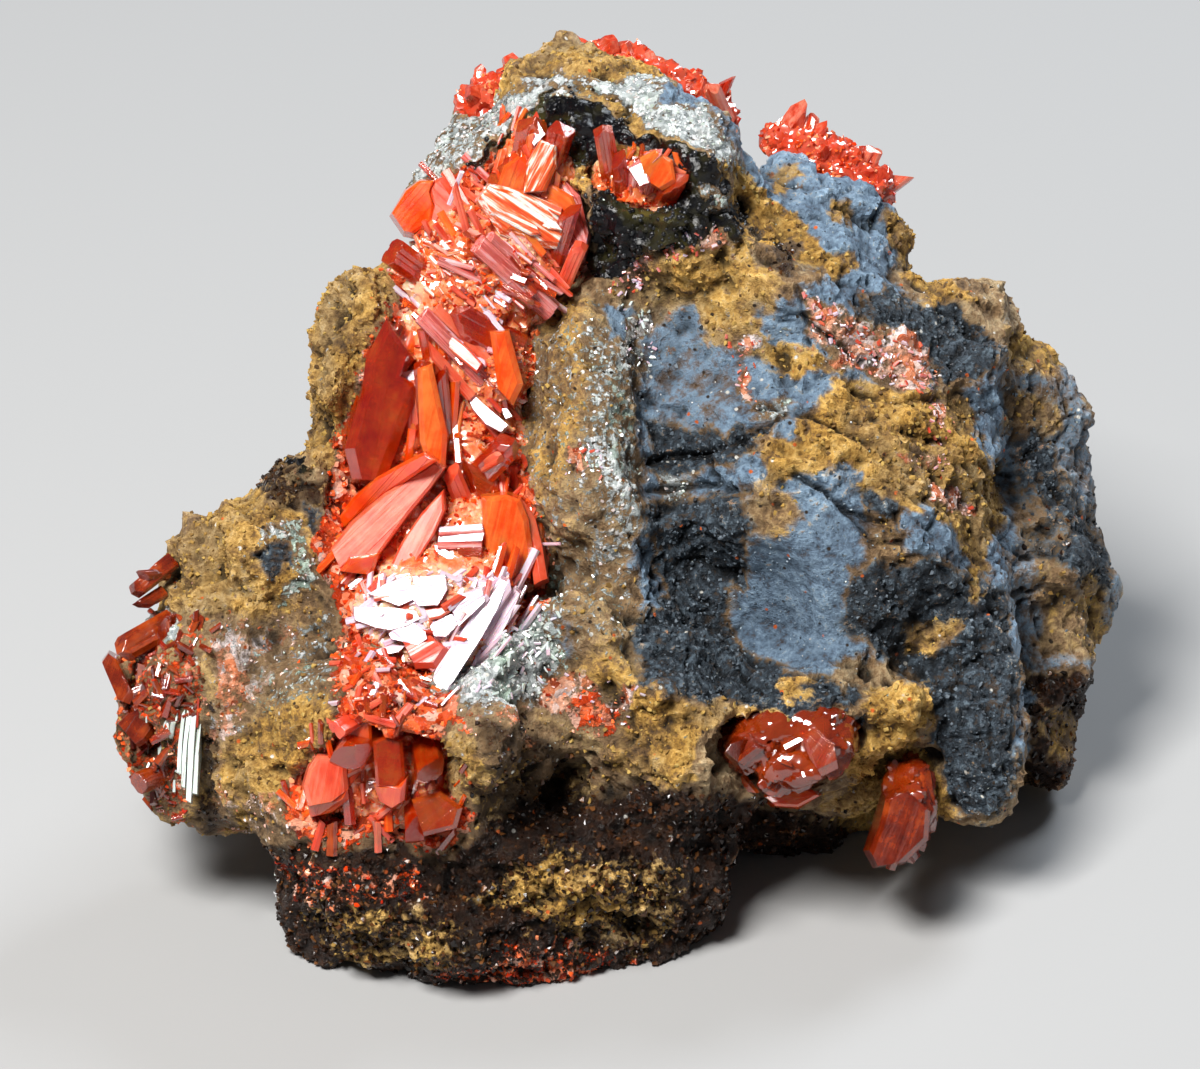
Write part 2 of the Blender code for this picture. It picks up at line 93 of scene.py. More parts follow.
# Coats by the corners of their patches in pixels: coat, softness, strength, corners
PATCHES = (
    # the left lobe
    ("ochre", 26, 0.75, ((110, 640), (160, 600), (330, 600), (345, 700), (330, 800), (250, 850),
        (150, 830), (100, 740))),
    ("crocoite", 20, 0.55, ((100, 640), (150, 610), (260, 625), (330, 650), (300, 700), (210, 720),
        (190, 830), (120, 790))),
    ("ochre", 10, 1.0, ((150, 550), (190, 515), (240, 490), (290, 445), (345, 440), (340, 520),
        (330, 590), (250, 610), (165, 610))),
    ("umber", 22, 0.8, ((205, 640), (262, 632), (330, 640), (345, 700), (335, 800), (262, 850),
        (200, 835), (200, 730))),
    ("ochre", 14, 0.7, ((215, 690), (262, 676), (300, 700), (270, 735), (220, 730))),
    ("ochre", 14, 0.7, ((215, 775), (262, 760), (285, 810), (240, 835))),
    ("crocoite", 12, 0.5, ((270, 650), (330, 650), (335, 760), (300, 770))),
    ("ochre", 16, 0.6, ((205, 625), (330, 618), (335, 690), (280, 720), (205, 700))),
    ("silver", 18, 0.45, ((212, 625), (330, 618), (345, 700), (300, 770), (262, 740), (212, 730))),
    ("blush", 16, 0.4, ((205, 620), (300, 620), (300, 690), (230, 700))),
    ("blush", 14, 0.45, ((215, 640), (262, 700), (262, 790), (300, 800), (300, 850), (220, 840))),
    ("umber", 10, 0.8, ((255, 470), (292, 446), (335, 442), (338, 500), (300, 520), (262, 500))),
    ("silver", 8, 0.7, ((262, 530), (300, 525), (315, 560), (330, 585), (262, 612), (300, 575))),
    ("soot", 8, 0.9, ((250, 548), (285, 545), (300, 568), (265, 578))),
    ("silver", 8, 0.8, ((120, 625), (180, 612), (190, 640), (140, 650))),
    ("pitch", 8, 0.7, ((285, 455), (325, 445), (330, 475), (300, 480))),
    ("soot", 10, 0.8, ((300, 500), (335, 505), (335, 545), (310, 540))),
    # the horn
    ("ochre", 10, 1.0, ((300, 300), (340, 240), (405, 235), (410, 270), (392, 330), (352, 400),
        (348, 480), (305, 470))),
    # the nose
    ("ochre", 20, 0.8, ((300, 700), (340, 680), (480, 720), (540, 760), (500, 850), (330, 860),
        (260, 840))),
    ("ochre", 12, 0.9, ((450, 745), (560, 745), (615, 790), (540, 845), (450, 840))),
    ("ochre", 12, 0.9, ((222, 740), (300, 700), (320, 760), (290, 850), (232, 845))),
    ("blush", 12, 0.5, ((455, 700), (540, 700), (600, 745), (540, 760), (480, 745))),
    ("blush", 10, 0.5, ((235, 800), (290, 790), (310, 850), (250, 856))),
    ("umber", 16, 0.7, ((470, 700), (560, 740), (600, 780), (560, 830), (500, 850), (450, 830),
        (480, 760))),
    ("crocoite", 16, 0.95, ((330, 640), (440, 650), (470, 720), (400, 760), (470, 810), (440, 850),
        (300, 860), (280, 800), (340, 740))),
    ("silver", 14, 1.0, ((480, 570), (562, 574), (578, 650), (560, 704), (480, 706), (440, 694))),
    ("slate", 12, 0.9, ((548, 596), (582, 604), (586, 662), (552, 656))),
    ("ochre", 16, 0.6, ((560, 660), (640, 665), (660, 740), (610, 760), (540, 740), (530, 690))),
    ("blush", 10, 0.9, ((545, 668), (590, 672), (606, 700), (570, 718), (535, 700))),
    ("blush", 9, 0.9, ((606, 690), (640, 684), (662, 715), (640, 735), (612, 722))),
    ("crocoite", 8, 0.8, ((580, 690), (625, 700), (632, 722), (590, 735), (565, 715))),
    # the wall
    ("ochre", 20, 0.5, ((520, 300), (610, 290), (650, 400), (650, 540), (625, 690), (570, 680),
        (550, 560), (515, 430))),
    ("ochre", 12, 0.95, ((505, 305), (575, 300), (592, 370), (566, 470), (530, 540), (505, 430))),
    ("slate", 16, 0.3, ((580, 470), (640, 440), (640, 530), (590, 560))),
    ("silver", 34, 0.32, ((460, 440), (520, 320), (600, 300), (650, 420), (640, 660), (560, 640),
        (545, 540))),
    ("silver", 8, 0.6, ((575, 440), (610, 440), (640, 500), (600, 480))),
    ("silver", 18, 0.4, ((590, 330), (652, 330), (650, 560), (600, 560))),
    ("blush", 7, 0.9, ((563, 448), (585, 446), (583, 470), (565, 472))),
    # the plate
    ("slate", 14, 1.0, ((640, 330), (700, 300), (760, 300), (860, 260), (1000, 340), (1015, 500),
        (1020, 640), (640, 700))),
    ("soot", 26, 0.25, ((645, 320), (720, 315), (740, 400), (700, 470), (650, 480))),
    ("slate", 10, 1.0, ((600, 310), (640, 305), (650, 330), (605, 338))),
    ("soot", 10, 1.0, ((860, 285), (960, 305), (1000, 350), (985, 390), (920, 385), (900, 350),
        (860, 325))),
    ("soot", 10, 0.9, ((655, 425), (740, 430), (790, 412), (760, 450), (690, 470), (655, 462))),
    ("ochre", 10, 0.95, ((700, 285), (752, 300), (765, 335), (800, 345), (850, 372), (800, 378),
        (755, 355), (705, 340))),
    ("ochre", 12, 1.0, ((838, 382), (900, 385), (965, 392), (985, 440), (1002, 500), (1000, 540),
        (965, 545), (930, 505), (880, 505), (850, 488), (800, 470), (765, 488), (753, 450), (775, 428),
        (820, 405))),
    ("slate", 9, 0.8, ((775, 410), (800, 420), (790, 440), (770, 432))),
    ("slate", 8, 0.8, ((840, 460), (870, 470), (850, 490), (830, 480))),
    ("soot", 8, 1.0, ((855, 498), (900, 500), (915, 540), (885, 545), (860, 520))),
    ("ochre", 7, 0.8, ((860, 515), (900, 520), (905, 540), (875, 535))),
    ("ochre", 12, 0.6, ((740, 480), (790, 490), (800, 520), (760, 540), (735, 520))),
    ("soot", 16, 1.0, ((645, 500), (735, 495), (750, 525), (742, 570), (728, 610), (755, 655),
        (820, 682), (870, 690), (860, 715), (700, 722), (640, 695), (622, 650), (650, 600))),
    ("slate", 8, 0.9, ((630, 548), (656, 545), (660, 600), (632, 610))),
    ("ochre", 10, 0.55, ((860, 535), (905, 540), (925, 560), (880, 570))),
    ("soot", 14, 1.0, ((850, 568), (900, 560), (985, 565), (1010, 600), (1022, 660), (1030, 740),
        (1010, 790), (975, 825), (945, 812), (935, 740), (930, 690), (880, 662), (850, 640))),
    ("ochre", 7, 0.9, ((968, 538), (988, 535), (985, 600), (973, 595))),
    ("ochre", 9, 0.7, ((912, 620), (965, 618), (950, 650), (903, 660))),
    ("slate", 8, 0.9, ((1005, 600), (1028, 615), (1030, 665), (1012, 650))),
    ("slate", 8, 0.9, ((1015, 668), (1035, 690), (1032, 770), (1018, 760))),
    ("silver", 10, 0.7, ((798, 290), (822, 305), (880, 335), (925, 385), (905, 392), (850, 368),
        (812, 335))),
    ("blush", 12, 0.75, ((800, 292), (830, 300), (880, 335), (928, 345), (935, 395), (900, 388),
        (850, 362), (812, 335))),
    ("blush", 7, 0.9, ((828, 325), (850, 328), (848, 345), (832, 342))),
    ("blush", 7, 0.9, ((880, 342), (915, 338), (925, 352), (890, 356))),
    ("blush", 7, 0.8, ((825, 355), (868, 358), (862, 372), (828, 368))),
    ("blush", 6, 0.9, ((905, 368), (930, 380), (925, 398), (908, 385))),
    ("silver", 6, 0.8, ((620, 330), (645, 300), (655, 320), (632, 350), (650, 372), (620, 355))),
    ("silver", 7, 0.7, ((660, 465), (700, 478), (690, 490), (655, 500))),
    ("silver", 7, 0.7, ((752, 398), (785, 395), (785, 415), (755, 418))),
    ("blush", 6, 0.7, ((728, 335), (760, 340), (758, 350), (735, 352))),
    ("blush", 6, 0.8, ((738, 365), (752, 372), (750, 396), (740, 392))),
    ("blush", 6, 0.8, ((930, 400), (948, 408), (945, 435), (930, 428))),
    ("blush", 6, 0.9, ((932, 480), (955, 490), (972, 515), (958, 512), (935, 498))),
    ("blush", 8, 0.45, ((900, 450), (955, 450), (950, 470), (905, 470))),
    # the ledge under the plate
    ("ochre", 12, 1.0, ((640, 690), (700, 705), (770, 708), (835, 730), (870, 745), (905, 790),
        (895, 832), (860, 835), (810, 800), (850, 790), (835, 745), (760, 728), (700, 725), (690, 790),
        (640, 800), (600, 760))),
    ("ochre", 8, 1.0, ((868, 700), (900, 680), (930, 690), (936, 722), (920, 752), (880, 772), (866, 740))),
    ("ochre", 9, 1.0, ((895, 742), (930, 762), (962, 805), (950, 832), (918, 812), (898, 780))),
    ("ochre", 8, 0.8, ((780, 685), (810, 680), (815, 700), (785, 700))),
    # the dark foot, whose near-black umber is partly painted shade under the overhang
    ("umber", 24, 1.0, ((225, 842), (450, 850), (560, 790), (700, 785), (880, 830), (780, 910),
        (700, 1010), (240, 1010))),
    ("crocoite", 14, 0.5, ((265, 860), (420, 868), (440, 900), (300, 905))),
    ("crocoite", 12, 0.5, ((420, 960), (520, 950), (600, 965), (570, 1000), (440, 990))),
    ("ochre", 20, 0.5, ((540, 840), (700, 870), (650, 950), (600, 960), (520, 930))),
    ("crocoite", 20, 0.35, ((480, 940), (600, 930), (640, 960), (590, 1000), (500, 980))),
    ("ochre", 12, 0.5, ((300, 905), (350, 900), (470, 925), (500, 960), (440, 970), (330, 965))),
    ("ochre", 10, 0.7, ((470, 890), (560, 850), (600, 870), (640, 920), (560, 930))),
    # the far lobe, darkened in part by soot and umber patches as painted shade
    ("slate", 16, 0.95, ((1000, 320), (1065, 335), (1120, 470), (1130, 560), (1105, 660), (1100, 720),
        (1040, 700), (1020, 600))),
    ("soot", 18, 0.9, ((1010, 360), (1040, 440), (1075, 500), (1120, 560), (1080, 600), (1040, 560),
        (1015, 480))),
    ("umber", 14, 0.7, ((1030, 480), (1070, 520), (1050, 560), (1025, 540))),
    ("ochre", 12, 0.9, ((1000, 322), (1070, 340), (1068, 368), (1010, 362))),
    ("ochre", 10, 0.8, ((1010, 395), (1060, 398), (1062, 425), (1015, 432))),
    ("ochre", 14, 0.7, ((1040, 560), (1105, 590), (1100, 660), (1040, 650))),
    ("soot", 26, 0.3, ((1000, 330), (1070, 345), (1125, 480), (1130, 560), (1105, 690), (1040, 700),
        (1015, 600))),
    ("umber", 12, 1.0, ((1030, 670), (1110, 670), (1100, 745), (1060, 790), (1030, 785))),
    ("ochre", 10, 0.5, ((1040, 710), (1080, 715), (1075, 760), (1045, 760))),
    # the summit, the black block and the shoulder
    ("slate", 16, 1.0, ((738, 108), (790, 120), (860, 146), (895, 190), (915, 250), (880, 280),
        (800, 236), (742, 190))),
    ("ochre", 6, 0.7, ((768, 168), (792, 170), (790, 190), (775, 186))),
    ("ochre", 6, 0.7, ((825, 200), (845, 202), (842, 222), (822, 218))),
    ("ochre", 8, 0.9, ((886, 205), (908, 215), (928, 245), (985, 300), (940, 304), (905, 272), (888, 240))),
    ("silver", 16, 1.0, ((405, 230), (425, 105), (480, 75), (600, 78), (660, 72), (712, 95), (742, 130),
        (742, 175), (690, 150), (630, 125), (545, 98), (470, 160))),
    ("ochre", 12, 0.95, ((450, 95), (500, 60), (560, 35), (650, 58), (668, 74), (600, 84), (545, 80),
        (500, 100), (460, 118))),
    ("slate", 7, 0.95, ((655, 85), (690, 72), (722, 98), (700, 112), (655, 106))),
    ("slate", 9, 0.8, ((712, 95), (748, 130), (745, 165), (722, 140))),
    ("blush", 20, 0.3, ((425, 120), (480, 105), (500, 165), (425, 200))),
    ("blush", 8, 0.3, ((545, 96), (610, 104), (640, 130), (600, 120))),
    ("ochre", 10, 0.9, ((560, 84), (620, 104), (700, 148), (738, 165), (735, 182), (690, 160), (600, 118))),
    ("pitch", 9, 1.0, ((465, 160), (545, 93), (602, 112), (645, 138), (705, 150), (757, 205), (752, 258),
        (705, 240), (655, 250), (620, 285), (588, 270), (588, 195), (555, 178), (500, 172))),
    ("ochre", 9, 0.8, ((556, 165), (600, 160), (602, 192), (565, 195))),
    ("ochre", 5, 1.0, ((610, 148), (636, 145), (640, 165), (615, 172))),
    ("silver", 6, 0.6, ((690, 190), (740, 185), (750, 205), (700, 205))),
    ("ochre", 7, 1.0, ((735, 172), (756, 184), (796, 226), (846, 254), (846, 268), (800, 270),
        (760, 252), (738, 210))),
    ("ochre", 12, 0.9, ((600, 292), (640, 258), (700, 238), (745, 228), (752, 268), (800, 282),
        (760, 300), (700, 300), (650, 305))),
    ("blush", 8, 0.7, ((612, 288), (640, 258), (660, 262), (630, 292))),
    ("umber", 8, 0.8, ((765, 255), (800, 245), (802, 275), (770, 275))),
    ("blush", 7, 0.7, ((690, 225), (720, 218), (722, 240), (700, 242))),
    # the seam
    ("crocoite", 12, 1.0, ((500, 150), (560, 180), (590, 270), (556, 295), (525, 340), (515, 430),
        (545, 540), (552, 600), (470, 655), (340, 640), (320, 545), (348, 400), (392, 300), (395, 215),
        (440, 180))),
)

# The foot under the overhang, which stays dark under what else coats it as painted shade, by its corners in
# pixels
DARK_FOOT = (
    (215, 836), (300, 862), (450, 856), (560, 800), (700, 790), (880, 830), (780, 910), (700, 1010),
    (240, 1010),
)
FOOT_EDGE = 16.0

# Smooth slabs of the plate: how much of the relief they lose, softness, corners in pixels
SLABS = (
    (0.75, 14, ((742, 545), (790, 500), (860, 515), (885, 570), (868, 640), (800, 682), (752, 655),
        (733, 600))),
    (0.5, 16, ((660, 300), (740, 296), (775, 395), (735, 420), (662, 412))),
)

# Cracks in the rock: width in pixels, depth in mm, points in pixels
CRACKS = (
    (3.5, 0.5, ((760, 404), (815, 412), (850, 432), (870, 442))),
    (3.5, 0.6, ((795, 472), (825, 490), (850, 512), (885, 520))),
    (3.0, 0.5, ((855, 518), (875, 543), (905, 540))),
    (3.5, 0.5, ((620, 612), (665, 622), (705, 638))),
    (3.0, 0.5, ((655, 460), (700, 452), (745, 438), (790, 412))),
    (3.0, 0.4, ((655, 488), (700, 484), (750, 492))),
    (3.0, 0.4, ((745, 655), (790, 670), (830, 668))),
    (3.0, 0.4, ((800, 290), (806, 322), (840, 345), (868, 362))),
    (2.5, 0.35, ((850, 385), (900, 402), (940, 398))),
    (2.5, 0.3, ((905, 430), (960, 445), (985, 470))),
)

# Each group's crystals by root and tip (across, up, proud): finish, root, tip, width, thickness, roll in
# degrees, cut of the tip
CRYSTALS = {
    "seam": (
        ("clear", (-3.6, 15.4, -2.8), (-2.9, 18.9, -1.0), 1.5, 1.2, 0, "chisel"),
        ("clear", (-4.6, 15.0, -2.8), (-4.2, 17.2, -1.0), 1.3, 1.0, 20, "slant"),
        ("clear", (-2.4, 16.2, -2.6), (-1.7, 18.3, -0.6), 1.2, 1.0, -20, "flat"),
        ("streaked", (-2.2, 10.1, -1.4), (-5.5, 13.1, 0.5), 1.0, 0.8, 8, "flat"),
        ("streaked", (-2.9, 11.6, -1.6), (-5.0, 13.4, 0.2), 0.6, 0.6, 0, "flat"),
        ("streaked", (-5.2, 7.0, -0.6), (-8.0, 9.9, 0.6), 0.9, 0.5, 10, "flat"),
        ("satin", (-4.8, 7.6, -0.6), (-7.4, 10.2, 0.3), 0.5, 0.4, 10, "flat"),
        ("satin", (-5.8, 6.2, -0.4), (-7.9, 8.6, 0.5), 0.5, 0.4, 0, "slant"),
        ("clear", (-7.6, 3.4, -1.2), (-8.0, 7.9, 0.5), 0.9, 0.8, 0, "chisel"),
        ("clear", (-6.9, 3.2, -1.2), (-7.3, 7.6, 0.4), 0.8, 0.7, 10, "slant"),
        ("satin", (-8.4, 3.8, -1.6), (-8.3, 7.0, -0.1), 0.8, 0.8, -10, "chisel"),
        ("clear", (-4.3, 1.6, -1.8), (-6.5, 2.9, 0.3), 1.2, 1.0, -8, "slant"),
        ("clear", (-6.7, 1.5, -1.6), (-3.8, 4.3, 0.3), 1.3, 1.0, 10, "chisel"),
        ("satin", (-5.8, 0.6, -1.6), (-6.8, 3.1, 0.5), 0.9, 0.7, 0, "slant"),
        ("satin", (-6.2, 2.6, -1.2), (-4.4, 3.6, 0.6), 0.6, 0.5, 0, "chisel"),
        ("clear", (-3.8, 8.3, -1.8), (-6.8, 9.9, 0.2), 1.6, 1.2, 10, "chisel"),
        ("clear", (-7.2, 11.2, -2.4), (-9.4, 12.8, -0.6), 1.3, 1.1, 0, "flat"),
        ("clear", (-2.0, 12.4, -1.8), (-1.2, 15.0, 0.0), 0.9, 0.8, 0, "slant"),
        ("satin", (-1.6, 11.4, -1.6), (-0.8, 13.2, 0.0), 0.7, 0.6, 0, "chisel"),
        ("satin", (-5.6, 12.2, -1.0), (-6.6, 15.9, 0.3), 0.35, 0.3, 0, "slant"),
        ("pearl", (-6.8, 14.9, -0.6), (-6.2, 16.3, 0.5), 0.22, 0.2, 0, "flat"),
        ("pearl", (-2.9, -0.45, -0.6), (-1.8, -0.42, 0.5), 0.16, 0.16, 0, "flat"),
    ),
    "front": (
        ("clear", (-10.2, -8.6, 4.0), (-11.3, -10.2, 7.0), 1.3, 1.2, 10, "slant"),
        ("clear", (-7.8, -9.2, 3.6), (-7.4, -10.8, 6.9), 1.3, 1.1, -20, "slant"),
        ("clear", (-8.0, -11.4, 2.6), (-7.8, -13.4, 6.0), 1.7, 1.4, 0, "slant"),
        ("satin", (-9.8, -7.6, 4.4), (-11.6, -8.6, 6.6), 0.9, 0.7, 10, "flat"),
        ("satin", (-6.8, -8.4, 4.0), (-5.4, -9.6, 6.4), 0.7, 0.6, 10, "chisel"),
    ),
    "left": (
        ("deep", (-19.4, -4.0, -2.2), (-21.8, -5.4, -0.6), 1.3, 1.0, 0, "chisel"),
        ("deep", (-19.2, -7.6, -2.0), (-21.0, -6.2, -0.2), 1.0, 0.9, 20, "slant"),
        ("deep", (-19.0, -6.4, -2.4), (-20.0, -4.0, -0.4), 1.2, 1.0, 20, "slant"),
        ("deep", (-18.8, -10.4, -2.0), (-20.8, -11.2, 0.0), 1.0, 0.9, 20, "flat"),
    ),
    "left_tip": (
        ("deep", (-19.4, -1.2, -2.4), (-21.2, -2.7, -1.3), 0.8, 0.7, 0, "chisel"),
        ("deep", (-19.6, -1.8, -2.2), (-20.9, -1.9, -1.1), 0.5, 0.5, 20, "slant"),
        ("deep", (-19.8, -2.6, -2.2), (-21.0, -3.4, -1.2), 0.6, 0.5, 0, "slant"),
    ),
    "red_knob": (
        ("deep", (10.0, -8.4, -1.2), (10.9, -10.6, 3.0), 1.7, 1.4, 0, "slant"),
        ("deep", (7.2, -8.4, -1.2), (6.4, -10.0, 3.0), 1.8, 1.5, 0, "slant"),
    ),
    "drip": (
        ("deep", (14.2, -10.8, -1.8), (14.6, -14.0, 0.2), 1.5, 1.2, 0, "slant"),
    ),
    "black": (
        ("clear", (0.6, 15.6, -1.4), (0.1, 18.4, 0.7), 0.9, 0.8, 0, "chisel"),
        ("streaked", (1.6, 14.8, -1.4), (2.2, 17.4, 1.2), 1.3, 1.0, 0, "slant"),
        ("clear", (2.6, 14.6, -1.4), (3.5, 16.2, 1.4), 1.0, 0.9, 20, "slant"),
        ("clear", (1.0, 15.0, -1.0), (0.8, 17.2, 1.2), 0.7, 0.6, 20, "slant"),
    ),
}

# How the facets that glint lie: the slope across and the slope up that send the key light to the camera
GLINT = (0.18, -0.29)

# How much wider a faceted crystal grows to its back, and how far apart its growth ridges are in mm
FLARE = 0.10
RIDGE = {
    "feathered": (0.06, 0.2), "pearl": (0.07, 0.26), "streaked": (0.08, 0.3), "frost": (0.08, 0.25),
    "clear": (0.25, 0.8), "vivid": (0.2, 0.6),
}
COMMON_RIDGE = (0.14, 0.5)
LONG_CHAMFER, END_CHAMFER = (0.05, 0.15), (0.03, 0.08)  # as shares of a facet's breadth
CLEAR_OF = 0.3  # mm from a facet's middle to the surface behind it
MOST_TRIES = 20  # for each splinter of a sheaf
ROOTED = 0.8  # the most of a crystal's depth that stands off that surface

# The strips between growth ridges: how far their edges draw in, how far they step in or out, how they tilt
STRIP_INSET, STRIP_STEP = 0.007, (-0.006, 0.03)
STRIP_TILT = {
    "clear": 0.02, "vivid": 0.03, "deep": 0.04, "satin": 0.08,
    "streaked": 0.1, "pearl": 0.14, "frost": 0.12, "feathered": 0.16,
}

# Eased edges: the least angle in radians and the width in mm, on whole crystals and on faceted ones
CRYSTAL_EDGE, FACET_EDGE = (0.5, 0.02), (0.9, 0.012)
LEVEL = 0.999  # how nearly a face's normal runs with a facet's for the two to count as one
PLACE_DIGITS = 4  # of the millimetres that put such faces in order
WELD = 0.004
GRAIN_REACH = 50.0  # how far apart two crystals may start in the pattern of their grain

